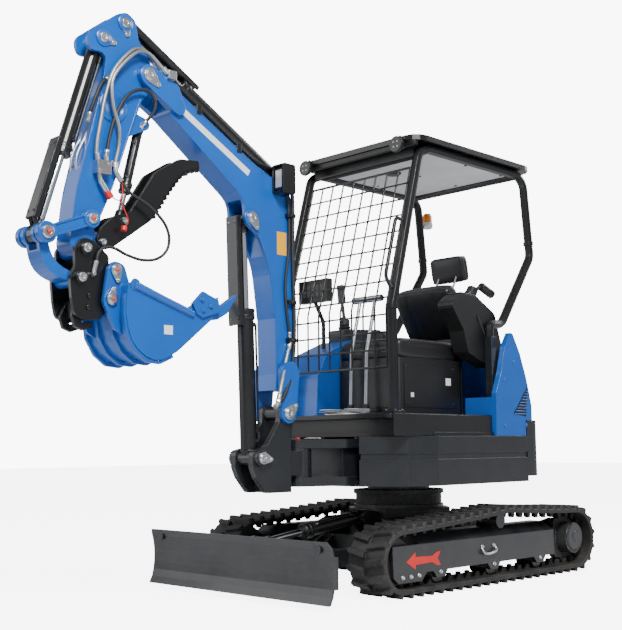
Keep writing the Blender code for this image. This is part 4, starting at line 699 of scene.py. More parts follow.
def hose(name, points, radius, body, material=None, rib=0.12, ends=True):
    """A wrapped hose with a crimped ferrule at each end."""
    solid = bmesh.new()
    line = smooth_path(points, 0.006)
    sweep(solid, line, radius, 10, rib)
    piece = place(name, solid, body, material or HOSE_RUBBER, angle=60)
    if ends:
        fittings = bmesh.new()
        for end, inner in ((line[0], line[min(8, len(line) - 1)]),
                           (line[-1], line[max(-9, -len(line))])):
            way = (inner - end).normalized()
            turned(fittings, [(radius * 1.25, -0.002), (radius * 1.45, 0.002),
                              (radius * 1.35, 0.012), (radius * 1.45, 0.016),
                              (radius * 1.35, 0.028), (radius * 1.1, 0.031)], end, way, 16)
            turned(fittings, [(radius * 1.6, -0.012), (radius * 1.6, -0.002)], end, way, 6)
        place(name + "_ferrules", fittings, body, PIN_ZINC)
    return piece


pipes = bmesh.new()
clamps = bmesh.new()
back = [(-0.955, 2.055), (-1.040, 2.085), (-1.190, 2.120), (-1.460, 2.270),
        (-1.640, 2.372), (-1.690, 2.415)]
for x in (0.044, 0.060):
    sweep(pipes, smooth_path([(x, a, b) for a, b in back], 0.03), 0.0065, 10)
for a, b in ((-1.270, 2.163), (-1.520, 2.302)):
    block(clamps, (0.032, a - 0.022, b - 0.036), (0.070, a + 0.006, b + 0.010))
    bolt(clamps, (0.052, a - 0.008, b + 0.010), (0, 0.45, 0.9), 0.006)
place("boom_pipes", pipes, "boom", POWDER_BLACK)
place("boom_pipe_clamps", clamps, "boom", POWDER_BLACK, bevel=0.0015)

# ---- Boom manifold -------------------------------------------------------------------
# A drilled steel block, zinc plated and bolted to the left side of the elbow fork, where
# the pipes along the boom meet the hoses to the arm.
manifold = bmesh.new()
block(manifold, (0.062, -1.735, 2.385), (0.104, -1.690, 2.425))
for x in (0.070, 0.084, 0.097):
    stick(manifold, (x, -1.735, 2.408), (x, -1.762, 2.428), 0.0095, 6)
bolt(manifold, (0.074, -1.712, 2.425), (0, 0, 1), 0.006)
block(manifold, (0.064, -1.722, 2.372), (0.084, -1.700, 2.390))
place("boom_manifold", manifold, "boom", PIN_ZINC, bevel=0.0015)

# ---- Boom markings -------------------------------------------------------------------
# Printed film, left blank: a white band stuck along both sides of the boom, and a
# yellow label low on its left.
band = bmesh.new()
along = Vector((-1.215 + 1.650, 2.035 - 2.275)).normalized()
up = Vector((-along.y, along.x))
first, last = Vector((-1.640, 2.270)), Vector((-1.215, 2.0355))
half = 0.016
corners = [first + up * half, last + up * half, last - up * half, first - up * half]
prism(band, [(c.x, c.y) for c in corners], FILM_LOW, FILM_HIGH)
prism(band, [(c.x, c.y) for c in corners], -FILM_HIGH, -FILM_LOW)
place("boom_band", band, "boom", WHITE_FILM)
label = bmesh.new()
block(label, (FILM_LOW, -1.030, 1.655), (FILM_HIGH, -0.965, 1.772))
place("boom_label", label, "boom", YELLOW_FILM)

# ---- Boom weld seams -----------------------------------------------------------------
# Fillet welds along the edges of the box section and round the bosses of its pins,
# painted over.
seams = bmesh.new()
front = [(-1.044, 1.340), (-1.082, 1.585), (-1.145, 1.725), (-1.225, 1.780)]
rear = [(-0.898, 1.020), (-0.917, 1.200), (-0.926, 1.600), (-0.928, 1.960),
        (-1.010, 2.020), (-1.190, 2.092), (-1.670, 2.354)]
for x in (-BOOM_HALF + 0.0005, BOOM_HALF - 0.0005):
    for run in (front, rear):
        sweep(seams, smooth_path([(x, a, b) for a, b in run], 0.008), 0.0026, 8, 0.35)
for hand in (-1, 1):
    turned(seams, [(0.043, 0), (0.046, 0.003), (0.043, 0.006)],
           (hand * 0.067, *LIFT_EYE), (hand, 0, 0), 32)
    turned(seams, [(0.046, 0), (0.049, 0.003), (0.046, 0.006)],
           (hand * 0.0815, *ELBOW), (hand, 0, 0), 32)
place("boom_weld_seams", seams, "boom", SKY_BLUE, angle=60)

# ---- Boom lamp -----------------------------------------------------------------------
# A finned black housing with a clear lens, bolted to the left of the boom so that it
# lights the digging area.
lamp = bmesh.new()
block(lamp, (0.076, -1.053, 1.972), (0.136, -1.020, 2.088))
for k in range(6):
    block(lamp, (0.078, -1.020, 1.980 + k * 0.018), (0.134, -1.002, 1.986 + k * 0.018))
place("boom_lamp_case", lamp, "boom", POWDER_BLACK, bevel=0.002)
lens = bmesh.new()
block(lens, (0.084, -1.0550, 1.985), (0.128, -1.0525, 2.075))
place("boom_lamp_lens", lens, "boom", finish("boom lamp lens", (0.42, 0.43, 0.42), 0.10,
      coat=0.8, bump=0.0, tone=0.03), bevel=0.001)
hose("boom_hose_left_1", [(0.078, -0.950, 2.070), (0.082, -0.935, 1.950),
                          (0.080, -0.935, 1.640), (0.078, -0.925, 1.300),
                          (0.084, -0.950, 1.090), (0.106, -1.020, 0.960),
                          (0.118, -1.090, 0.900)], 0.009, "boom")
hose("boom_hose_left_2", [(0.076, -0.990, 2.040), (0.078, -0.962, 1.920),
                          (0.077, -0.958, 1.700), (0.077, -0.985, 1.480),
                          (0.077, -0.955, 1.240)], 0.007, "boom")
hose("boom_hose_left_3", [(0.077, -0.955, 1.215), (0.082, -0.990, 1.120),
                          (0.110, -1.045, 1.010), (0.120, -1.075, 0.930)], 0.009, "boom",
     HOSE_BRAID)
hose("boom_hose_right", [(-0.078, -0.955, 2.060), (-0.080, -0.940, 1.900),
                         (-0.079, -0.940, 1.500), (-0.080, -0.935, 1.150),
                         (-0.108, -1.020, 0.960)], 0.009, "boom")
for index, z in enumerate((1.86, 1.42, 1.23)):
    straps = bmesh.new()
    block(straps, (BOOM_HALF + 0.0005, -0.975, z - 0.010), (0.094, -0.924, z + 0.010))
    block(straps, (-0.092, -0.958, z - 0.010), (-BOOM_HALF - 0.0005, -0.924, z + 0.010))
    bolt(straps, (0.094, -0.948, z), (1, 0, 0), 0.006)
    place("boom_hose_strap_%d" % index, straps, "boom", POWDER_BLACK, bevel=0.0015)

# ---- Hoses over the elbow and along the arm ----------------------------------------------
# Braided hoses leave the manifold, arch over the arm's head and drop to a zinc valve
# block on the arm's left face; from there a wrapped hose loops down to the coupler.


def arch(name, points, radius, material, rib):
    """A hose from the boom to the arm that bends round the elbow pin."""
    piece = hose(name, points, radius, None, material, rib, ends=False)
    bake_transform(piece)
    return piece


arch("arch_hose_1", [(0.070, -1.755, 2.425), (0.074, -1.800, 2.463), (0.082, -1.860, 2.486),
                     (0.086, -1.926, 2.470), (0.084, -2.019, 2.360), (0.076, -2.060, 2.230),
                     (0.074, -2.080, 2.121), (0.072, -2.095, 2.030), (0.072, -2.100, 1.965)],
     0.0085, HOSE_BRAID, 0.10)
arch("arch_hose_2", [(0.085, -1.757, 2.428), (0.086, -1.800, 2.458), (0.094, -1.850, 2.476),
                     (0.098, -1.910, 2.462), (0.096, -1.990, 2.382), (0.092, -2.035, 2.300),
                     (0.090, -2.030, 2.200), (0.082, -1.992, 2.104), (0.074, -1.985, 2.030),
                     (0.070, -2.000, 1.940)], 0.0080, HOSE_BRAID, 0.0)
hose("thumb_feed_hose", [(0.040, -1.838, 2.150), (0.074, -1.800, 2.215),
                         (0.084, -1.800, 2.270), (0.086, -1.840, 2.302),
                         (0.086, -1.905, 2.290), (0.084, -1.965, 2.238),
                         (0.080, -2.010, 2.146), (0.074, -2.032, 2.062),
                         (0.072, -2.050, 1.965)], 0.0075, "arm")
hose("curl_feed_hose", [(0.062, -2.030, 2.330), (0.072, -2.075, 2.290),
                        (0.072, -2.100, 2.235), (0.062, -2.120, 2.170),
                        (0.050, -2.128, 2.120)], 0.0075, "arm")

# ---- Arm valve block -----------------------------------------------------------------
# A zinc-plated steel block bolted to the left face, with the unions of the two braided
# hoses and the quick couplings for other tools.
ARM_HALF = 0.055
valve = bmesh.new()
block(valve, (ARM_HALF + 0.0005, -2.105, 1.880), (0.095, -2.035, 1.940))
for y, z in ((-2.095, 1.940), (-2.050, 1.940)):
    stick(valve, (0.074, y, z), (0.073, y - 0.003, z + 0.030), 0.0105, 6)
stick(valve, (0.074, -2.085, 1.880), (0.076, -2.080, 1.850), 0.0105, 6)
stick(valve, (0.076, -2.080, 1.852), (0.082, -2.050, 1.806), 0.0120, 16)
stick(valve, (0.070, -2.000, 1.945), (0.074, -2.002, 1.905), 0.0110, 6)
stick(valve, (0.074, -2.002, 1.905), (0.084, -1.975, 1.862), 0.0115, 16)
bolt(valve, (0.095, -2.092, 1.893), (1, 0, 0), 0.005)
bolt(valve, (0.095, -2.048, 1.927), (1, 0, 0), 0.005)
block(valve, (ARM_HALF + 0.0005, -2.018, 1.925), (0.078, -1.985, 1.950))
place("arm_valve_block", valve, "arm", PIN_ZINC, bevel=0.001)

# ---- Dust caps -----------------------------------------------------------------------
# Moulded in red plastic, pushed over the spare couplings and kept from getting lost by
# lanyards of the same plastic.
caps = bmesh.new()
turned(caps, [(0.010, 0), (0.0155, 0.003), (0.0155, 0.028), (0.012, 0.034), (0, 0.034)],
       (0.082, -2.050, 1.806), (0.25, 0.55, -0.80), 18)
sweep(caps, smooth_path([(0.086, -2.035, 1.790), (0.090, -1.995, 1.775),
                         (0.088, -1.972, 1.800), (0.084, -1.972, 1.862)], 0.008),
      0.0028, 8)
sweep(caps, smooth_path([(0.088, -1.985, 1.775), (0.092, -1.960, 1.730),
                         (0.088, -1.940, 1.690), (0.080, -1.955, 1.662)], 0.008),
      0.0028, 8)
turned(caps, [(0.010, 0), (0.0135, 0.003), (0.0135, 0.022), (0, 0.024)],
       (0.080, -1.955, 1.668), (0.1, -0.2, -1), 18)
place("arm_dust_caps", caps, "arm", RED_PLASTIC)

# ---- Arm reinforcement and seams -----------------------------------------------------
# Steel, painted over with the arm: a ring pad welded to both sides, bosses round the
# head pins, and fillet welds along the edges.
rings = bmesh.new()
for hand in (-1, 1):
    turned(rings, [(0.052, -0.002), (0.070, 0.0), (0.073, 0.003), (0.070, 0.006),
                   (0.052, 0.008), (0.048, 0.003)],
           (hand * (ARM_HALF + 0.0005), -2.005, 2.200), (hand, 0, 0), 40)
    for pin in (ARM_EYE, CURL_BASE):
        turned(rings, [(0.038, 0), (0.041, 0.003), (0.038, 0.006)],
               (hand * (ARM_HALF + 0.0007), *pin), (hand, 0, 0), 32)
    for run in (((-2.075, 2.230), (-2.158, 1.900), (-2.188, 1.760), (-2.205, 1.600)),
                ((-1.858, 2.270), (-1.925, 2.080), (-2.003, 1.840), (-2.085, 1.650))):
        seam = [(hand * (ARM_HALF - 0.0005), a, b) for a, b in run]
        sweep(rings, smooth_path(seam, 0.008), 0.0024, 8, 0.35)
place("arm_rings_and_seams", rings, "arm", SKY_BLUE, angle=60)

# ---- Arm front pipes -----------------------------------------------------------------
# Two short zinc-plated pipes screw into hexagonal unions and bend down the front of the
# arm.
pipes = bmesh.new()
for x in (-0.030, 0.012):
    sweep(pipes, smooth_path([(x, -2.112, 2.060), (x, -2.150, 1.985),
                              (x, -2.162, 1.930), (x, -2.155, 1.895)], 0.015), 0.006, 10)
for x in (-0.030, 0.012):
    stick(pipes, (x, -2.098, 2.088), (x, -2.116, 2.050), 0.010, 6)
place("arm_front_pipes", pipes, "arm", PIN_ZINC)

# ---- Coupler hose --------------------------------------------------------------------
# One wrapped rubber hose leaves the valve block, hangs in a loop behind the arm and ends
# at the quick coupler.
loop = hose("coupler_hose", [(0.084, -1.970, 1.855), (0.088, -1.930, 1.818),
                             (0.092, -1.835, 1.775), (0.094, -1.755, 1.715),
                             (0.094, -1.722, 1.650), (0.094, -1.735, 1.585),
                             (0.093, -1.790, 1.540), (0.092, -1.870, 1.527),
                             (0.092, -1.950, 1.540), (0.093, -2.010, 1.560),
                             (0.094, -2.062, 1.560), (0.094, -2.095, 1.530),
                             (0.094, -2.105, 1.490)], 0.0065, None, HOSE_RUBBER, 0.16,
            ends=False)
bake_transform(loop)

# ---- Side links ----------------------------------------------------------------------
# A pair of bars with raised flanges along both edges and round bosses at both pins.
web = bmesh.new()
way = Vector((LINK_PIN[0] - CURL_EYE[0], LINK_PIN[1] - CURL_EYE[1]))
along = way.normalized()
up = Vector((-along.y, along.x))
for hand in (-1, 1):
    for lift in (-1, 1):
        start = Vector(CURL_EYE) + along * 0.040 + up * lift * 0.022
        end = Vector(LINK_PIN) - along * 0.034 + up * lift * 0.022
        corners = [start + up * 0.0045, end + up * 0.0045, end - up * 0.0045,
                   start - up * 0.0045]
        low, high = sorted((hand * 0.084, hand * 0.0905))
        prism(web, [(c.x, c.y) for c in corners], low, high)
    for centre, radius in ((CURL_EYE, 0.045), (LINK_PIN, 0.039)):
        turned(web, [(radius - 0.006, 0), (radius, 0.0), (radius - 0.003, 0.004),
                     (radius - 0.012, 0.004)], (hand * 0.0895, *centre), (hand, 0, 0), 36)
place("side_link_flanges", web, "side_links", SKY_BLUE, bevel=0.001)

# ---- Bucket --------------------------------------------------------------------------
# Welded steel with four wear strips round its back, a ridge tube along each side, side
# cutters held by three bolts each, and a blank white label.
strips = bmesh.new()
wrap = [(-1.998, 1.360), (-2.003, 1.275), (-1.990, 1.190), (-1.945, 1.120),
        (-1.885, 1.078), (-1.815, 1.072), (-1.745, 1.103)]
for x in (-0.150, -0.055, 0.055, 0.150):
    outer = [Vector(p) for p in wrap]
    ring_outer, ring_inner = [], []
    for k, p in enumerate(outer):
        tangent = outer[min(k + 1, 6)] - outer[max(k - 1, 0)]
        normal = Vector((tangent.y, -tangent.x)).normalized()
        if normal.x * (p.x + 1.85) + normal.y * (p.y - 1.25) < 0:
            normal = -normal
        ring_outer.append(p + normal * 0.006)
        ring_inner.append(p - normal * 0.010)
    for k in range(6):
        prism(strips, [tuple(ring_outer[k]), tuple(ring_outer[k + 1]),
                       tuple(ring_inner[k + 1]), tuple(ring_inner[k])],
              x - 0.010, x + 0.010)
for hand in (-1, 1):
    stick(strips, (hand * 0.166, -1.962, 1.400), (hand * 0.166, -1.640, 1.297), 0.017, 20)
    turned(strips, [(0.024, 0), (0.026, 0.002), (0.024, 0.004)],
           (hand * 0.165, -1.955, 1.402), (hand, 0, 0), 24)
place("bucket_strips", strips, "bucket", SKY_BLUE, angle=40)
cutters = bmesh.new()
for hand in (-1, 1):
    for y, z in ((-1.598, 1.365), (-1.590, 1.318), (-1.548, 1.340)):
        bolt(cutters, (hand * 0.1775, y, z), (hand, 0, 0), 0.010)
place("bucket_cutter_bolts", cutters, "bucket", SKY_BLUE, angle=30)
label = bmesh.new()
block(label, (0.1652, -1.800, 1.198), (0.1657, -1.752, 1.238))
place("bucket_label", label, "bucket", WHITE_FILM)

# ---- Quick coupler -------------------------------------------------------------------
# Two black plates hold the bucket pins; a forged hook closes on the lower one, fed by
# a single hose through a zinc union.
hook = bmesh.new()
for hand in (-1, 1):
    low, high = sorted((hand * 0.036, hand * 0.056))
    outline = [(-2.085, 1.330), (-2.165, 1.330), (-2.196, 1.262), (-2.180, 1.214),
               (-2.140, 1.200), (-2.100, 1.214), (-2.092, 1.236), (-2.120, 1.240),
               (-2.146, 1.232), (-2.160, 1.252), (-2.150, 1.290), (-2.100, 1.300)]
    prism(hook, outline, low, high)
    for y, z in ((-2.130, 1.345), (-2.135, 1.296)):
        turned(hook, [(0.011, 0), (0.011, 0.008), (0.007, 0.010), (0, 0.010)],
               (hand * 0.082, y, z), (hand, 0, 0), 18)
place("coupler_hook", hook, "bucket", POWDER_BLACK, bevel=0.002)
port = bmesh.new()
stick(port, (0.094, -2.105, 1.495), (0.094, -2.118, 1.445), 0.0105, 6)
stick(port, (0.083, -2.120, 1.435), (0.104, -2.118, 1.440), 0.010, 12)
place("coupler_port", port, "bucket", PIN_ZINC)

# ---- Thumb ---------------------------------------------------------------------------
# Two flame-cut plates, painted black; saw teeth along their inner edges grip against
# the bucket.
teeth = bmesh.new()
edge = [Vector(p) for p in ((-1.512, 2.005), (-1.600, 1.975), (-1.665, 1.905),
                            (-1.720, 1.826), (-1.790, 1.720))]
line = smooth_path([(0, p.x, p.y) for p in edge], 0.004)
gap = max(1, len(line) // 14)
for k in range(0, len(line) - gap, gap):
    a, b = line[k], line[k + gap]
    run = b - a
    out = Vector((0, -run.z, run.y)).normalized()
    if out.y < 0:
        out = -out
    for low, high in ((0.033, 0.049), (-0.049, -0.033)):
        prism(teeth, [(a.y, a.z), ((a + run * 0.30 + out * 0.012).y,
                                   (a + run * 0.30 + out * 0.012).z),
                      ((a + run * 0.62 + out * 0.012).y,
                       (a + run * 0.62 + out * 0.012).z),
                      ((a + run * 0.9).y, (a + run * 0.9).z),
                      ((a + run * 0.5 - out * 0.010).y,
                       (a + run * 0.5 - out * 0.010).z)], low, high)
place("thumb_teeth", teeth, "thumb", POWDER_BLACK, angle=30)

# ---- Operator's seat ---------------------------------------------------------------------
# Foam pads under black vinyl: each pad is a crowned closed form that pulls in between its
# corners, with a welted seam round its edge and two sewn channels across the middle.
SEAT_VINYL = finish("seat vinyl", (0.006, 0.006, 0.007), 0.46, coat=0.15, fine=0.5,
                    broad=0.2, bump=0.35, tone=0.1, dust=0.05)
BLACK_PLASTIC = finish("black plastic", (0.007, 0.0075, 0.008), 0.42, fine=0.8, broad=0.1,
                       bump=0.2, dust=0.08)
GREY_PLASTIC = finish("grey plastic", (0.045, 0.048, 0.052), 0.46, fine=0.8, bump=0.2,
                      dust=0.06)
SEAT_X = 0.030


def pad(name, node, centre, size, lean, crown, channels):
    """One upholstered pad lying in the local XY plane, leaned about the X axis."""
    solid = bmesh.new()
    bmesh.ops.create_cube(solid, size=1.0)
    bmesh.ops.subdivide_edges(solid, edges=solid.edges, cuts=27, use_grid_fill=True)
    wide, deep, thick = (0.5 * s for s in size)
    for v in solid.verts:
        a, b, c = v.co.x * 2, v.co.y * 2, v.co.z * 2
        shrink = 1 - 0.05 * abs(c) ** 3
        pull_x = 1 - 0.035 * (1 - b * b) * (1 - abs(c))
        pull_y = 1 - 0.035 * (1 - a * a) * (1 - abs(c))
        corner = 1 - 0.075 * (a * b) ** 4
        x, y = a * wide * shrink * pull_x * corner, b * deep * shrink * pull_y * corner
        z = c * thick
        if c > 0:
            dome = (1 - a ** 4) * (1 - b ** 4)
            sew = sum(0.007 * max(0.0, 1 - abs(x - at * wide) / 0.010) for at in channels)
            sew *= min(1.0, max(0.0, (1 - abs(b)) * 7))
            z = c * (thick * (1 - crown) + thick * crown * dome - sew)
            z += 0.0010 * noise(Vector((x * 16, y * 16, 3.0)))
        v.co = (x, y, z)
    turn = Matrix.Translation(centre) @ Matrix.Rotation(radians(lean), 4, "X")
    solid.transform(turn)
    item = place(name, solid, "house", SEAT_VINYL, 60)
    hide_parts(node)
    welt = bmesh.new()
    rim = []
    for k in range(49):
        t = 2 * pi * k / 48
        a, b = cos(t), sin(t)
        grow = 1 / max(abs(a), abs(b))
        a, b = a * min(grow, 1.30), b * min(grow, 1.30)
        corner = 1 - 0.075 * (a * b) ** 4
        rim.append((a * wide * 0.985 * corner * (1 - 0.03 * (1 - b * b)),
                    b * deep * 0.985 * corner * (1 - 0.03 * (1 - a * a)), thick * 0.30))
    sweep(welt, smooth_path(rim, 0.02), 0.0035, 8)
    welt.transform(turn)
    place(name + "_welt", welt, "house", SEAT_VINYL, angle=60)


pad("seat_pad", "seat_cushion", (SEAT_X, -0.065, 1.2303), (0.446, 0.526, 0.117), 0, 0.34,
    (-0.42, 0.42))
pad("back_pad", "seat_back", (SEAT_X, 0.2330, 1.4450), (0.420, 0.355, 0.092), 121, 0.30,
    (-0.45, 0.45))
pad("head_pad", "headrest", (SEAT_X, 0.4030, 1.7350), (0.246, 0.155, 0.060), 101, 0.35, ())
stems = bmesh.new()
for x in (-0.035, 0.095):
    stick(stems, (x, 0.345, 1.600), (x, 0.390, 1.690), 0.0065, 12)
place("headrest_stems", stems, "house", CHROME)

# ---- Moulded and bright parts of the cab ---------------------------------------------
# Consoles, seat box, monitor and visor are moulded plastic; the travel levers and pedals
# are bare aluminium; the liner is pale and the bonnet has the body's blue paint.
repaint(BLACK_PLASTIC, "left_console", "monitor", "seat_base", "sun_visor")
repaint(GREY_PLASTIC, "right_console")
repaint(ALUMINIUM, "travel_levers", "pedals")
LINER_PALE = finish("pale liner", (0.62, 0.63, 0.64), 0.6, fine=0.6, bump=0.15, dust=0.05)
ORANGE_PLASTIC = finish("orange plastic", (0.85, 0.17, 0.01), 0.4, bump=0.08, tone=0.08)
repaint(LINER_PALE, "headliner")
repaint(SKY_BLUE, "rear_bonnet")

# ---- Joystick boots and grips --------------------------------------------------------
# Folded rubber boots under both joysticks and both travel levers, and moulded grips
# shaped to the hand.


def bellows(solid, start, end, wide, slim, folds=5):
    """A rubber boot that steps in over its folds."""
    run = Vector(end) - Vector(start)
    size = run.length
    profile = [(0, 0)]
    for k in range(folds):
        r = wide + (slim - wide) * k / folds
        profile += [(r, size * k / folds), (r, size * (k + 0.45) / folds),
                    (r * 0.80, size * (k + 0.62) / folds)]
    profile += [(slim, size), (0, size)]
    turned(solid, profile, start, tuple(run.normalized()), 24)


boots = bmesh.new()
bellows(boots, (-0.325, -0.130, 1.366), (-0.325, -0.138, 1.445), 0.040, 0.017)
turned(boots, [(0, 0), (0.020, 0), (0.0235, 0.010), (0.0225, 0.055), (0.0245, 0.078),
               (0.020, 0.090), (0, 0.092)], (-0.325, -0.150, 1.538), (0, -0.11, 1), 24)
for x in (-0.045, 0.065):
    turned(boots, [(0, 0), (0.016, 0), (0.0188, 0.005), (0.0188, 0.091), (0.016, 0.096),
                   (0, 0.096)], (x - 0.048, -0.300, 1.500), (1, 0, 0), 20)
    bellows(boots, (x, -0.392, 0.8660), (x, -0.388, 0.925), 0.034, 0.014, 4)
place("right_boot_and_grips", boots, "house", BLACK_PLASTIC, angle=30)
left = bmesh.new()
bellows(left, (0.320, 0.180, 1.508), (0.320, 0.240, 1.575), 0.042, 0.018)
turned(left, [(0, 0), (0.021, 0), (0.0245, 0.012), (0.0235, 0.070), (0.0255, 0.096),
              (0.020, 0.108), (0, 0.110)], (0.320, 0.316, 1.599), (0, 0.94, -0.35), 24)
place("left_boot_and_grip", left, "left_console", BLACK_PLASTIC, angle=30)

# ---- Left console trim ---------------------------------------------------------------
# A grey moulded top is clipped on; the side has a blank orange diamond of film, and the
# lock lever beside it a screwed-on red knob.
panel = bmesh.new()
prism(panel, [(0.070, 1.5335), (0.200, 1.5285), (0.362, 1.4465), (0.362, 1.4530),
              (0.202, 1.5350), (0.072, 1.5400)], 0.276, 0.364)
place("left_console_top", panel, "left_console", GREY_PLASTIC, bevel=0.002)
mark = bmesh.new()
prism(mark, [(0.300, 1.320), (0.318, 1.338), (0.300, 1.356), (0.282, 1.338)],
      0.3722, 0.3730)
place("left_console_mark", mark, "left_console", ORANGE_PLASTIC)
knob = bmesh.new()
turned(knob, [(0, 0), (0.013, 0), (0.016, 0.008), (0.013, 0.018), (0, 0.021)],
       (0.230, 0.040, 1.150), (0, -1, 0.2), 20)
place("lock_lever_knob", knob, "house", RED_PLASTIC)

# ---- Grip buttons --------------------------------------------------------------------
# Two orange plastic push buttons, set in the top of the right joystick.
# They stand a little proud of the grip.
keys = bmesh.new()
for y, z in ((-0.150, 1.632), (-0.163, 1.628)):
    turned(keys, [(0, 0), (0.005, 0), (0.005, 0.003), (0, 0.003)],
           (-0.325, y, z), (0, -0.1, 1), 12)
place("grip_buttons", keys, "house", ORANGE_PLASTIC)

# ---- Pedal treads --------------------------------------------------------------------
# Raised ribs, cast with the two aluminium foot plates and running across them.
# The plates are left bare.
treads = bmesh.new()
for x in (-0.080, 0.100):
    for k in range(7):
        y = -0.548 + k * 0.0165
        block(treads, (x - 0.042, y, 0.8948), (x + 0.042, y + 0.007, 0.8985))
place("pedal_ribs", treads, "house", ALUMINIUM)

# ---- Monitor -------------------------------------------------------------------------
# A dark glass screen towards the seat, and five ventilation slots in the back of the
# moulded case.
screen = bmesh.new()
block(screen, (-0.372, -0.3996, 1.515), (-0.173, -0.3975, 1.612))
place("monitor_glass", screen, "house", finish("dark glass", (0.006, 0.008, 0.011), 0.08,
      coat=0.6, bump=0.0, tone=0.02), bevel=0.002)
bezel = bmesh.new()
for k in range(5):
    block(bezel, (-0.352 + k * 0.034, -0.4408, 1.530), (-0.330 + k * 0.034, -0.4400, 1.596))
place("monitor_vents", bezel, "house", GREY_PLASTIC)

# ---- Floor mat -----------------------------------------------------------------------
# Black rubber sheet, cut round the seat box and laid loose on the steel floor, with
# moulded ribs across the walkway.
mat = bmesh.new()
prism(mat, [(-0.170, -0.545), (0.350, -0.545), (0.350, -0.345), (0.345, 0.195),
            (0.262, 0.195), (0.262, -0.345), (-0.170, -0.345)], 0.8652, 0.8700, "z")
for k in range(24):
    block(mat, (0.135, -0.540 + k * 0.0085, 0.8700), (0.345, -0.536 + k * 0.0085, 0.8722))
place("floor_mat", mat, "house", HOSE_RUBBER)

# ---- Seat box ------------------------------------------------------------------------
# Black pressed panels are bolted to its front and left side, and the side panel has two
# blank white labels.
panels = bmesh.new()
block(panels, (-0.160, -0.3340, 0.905), (0.220, -0.3302, 1.140))
block(panels, (0.2502, -0.290, 0.905), (0.2535, 0.150, 1.140))
for y in (-0.27, 0.13):
    for z in (0.925, 1.120):
        bolt(panels, (0.2535, y, z), (1, 0, 0), 0.006)
place("seat_box_panels", panels, "house", BLACK_PLASTIC, bevel=0.003)
tag = bmesh.new()
block(tag, (0.2536, 0.060, 1.030), (0.2540, 0.105, 1.070))
block(tag, (0.2536, -0.240, 0.960), (0.2540, -0.215, 0.985))
place("seat_box_label", tag, "house", WHITE_FILM)

# ---- Console strut -------------------------------------------------------------------
# A gas strut lifts the left console: a black steel tube below and a bright rod that
# slides in it.
strut = bmesh.new()
stick(strut, (0.3725, 0.205, 1.420), (0.3725, 0.345, 1.200), 0.008, 16)
place("console_strut", strut, "left_console", POWDER_BLACK)
shine = bmesh.new()
stick(shine, (0.3725, 0.345, 1.200), (0.3725, 0.385, 1.140), 0.004, 12)
place("console_strut_rod", shine, "left_console", CHROME)

# ---- Front wire guard ----------------------------------------------------------------
# Thin steel wires cross inside a rail of narrow tube, all welded and powder coated. It is
# bolted to the front posts and follows their bend at the knee.
FRONT_LOW, FRONT_KNEE, FRONT_TOP = (-0.551, 1.100), (-0.551, 1.404), (-0.3375, 2.165)
POST_X = 0.400


def guard_point(x, z):
    """A point in the guard's plane: upright to the knee, then raked with the posts."""
    if z <= FRONT_KNEE[1]:
        return (x, FRONT_LOW[0], z)
    rake = (FRONT_TOP[0] - FRONT_KNEE[0]) / (FRONT_TOP[1] - FRONT_KNEE[1])
    return (x, FRONT_KNEE[0] + rake * (z - FRONT_KNEE[1]), z)


def wire_guard():
    """Eight upright wires and eleven cross wires inside a rail of thin tube."""
    wires = bmesh.new()
    half = 0.363
    for k in range(1, 9):
        x = -half + 2 * half * k / 9
        path = [guard_point(x, z) for z in (1.100, 1.404, 2.165)]
        for a, b in zip(path, path[1:]):
            stick(wires, a, b, 0.0048, 8)
    for k in range(1, 12):
        z = 1.100 + (2.165 - 1.100) * k / 12
        a, b = guard_point(-half, z), guard_point(half, z)
        stick(wires, (a[0], a[1] - 0.0080, a[2]), (b[0], b[1] - 0.0080, b[2]), 0.0048, 8)
    rail = [guard_point(-half, 1.100), guard_point(half, 1.100), guard_point(half, 1.404),
            guard_point(half, 2.165), guard_point(-half, 2.165), guard_point(-half, 1.404),
            guard_point(-half, 1.100)]
    for a, b in zip(rail, rail[1:]):
        stick(wires, a, b, 0.0065, 12)
    for hand in (-1, 1):
        for z in (1.18, 1.62, 2.08):
            p = guard_point(hand * 0.3625, z)
            stick(wires, p, (hand * 0.385, p[1], p[2]), 0.008, 10)
            bolt(wires, (hand * 0.372, p[1] - 0.008, z), (0, -1, 0.28), 0.006)
    guard = place("wire_guard", wires, "house", POWDER_BLACK, 30)
    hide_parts("front_guard")


wire_guard()

# ---- Canopy lining and fascia --------------------------------------------------------
# A black fascia strip along the front, a dome lamp and push-in buttons that hold the
# pale liner.
fascia = bmesh.new()
block(fascia, (-0.430, -0.376, 2.272), (0.430, -0.352, 2.2995))
turned(fascia, [(0, 0), (0.045, 0), (0.045, 0.006), (0.036, 0.014), (0, 0.016)],
       (-0.060, 0.020, 2.2778), (0, 0, -1), 32)
for x in (-0.33, 0.0, 0.33):
    for y in (-0.17, 0.19, 0.53):
        turned(fascia, [(0, 0), (0.010, 0), (0.007, 0.004), (0, 0.005)],
               (x, y, 2.2778), (0, 0, -1), 14)
place("canopy_fascia", fascia, "house", BLACK_PLASTIC, bevel=0.002)

# ---- Sun visor bar -------------------------------------------------------------------
# A black moulded bar that bows forward under the front edge of the roof and ends at
# both posts.
visor = bmesh.new()
sweep(visor, smooth_path([(-0.362, -0.250, 2.250), (-0.300, -0.262, 2.243),
                          (0.0, -0.268, 2.240), (0.300, -0.262, 2.243),
                          (0.362, -0.250, 2.250)], 0.02), 0.012, 12)
place("visor_bar", visor, "house", BLACK_PLASTIC)

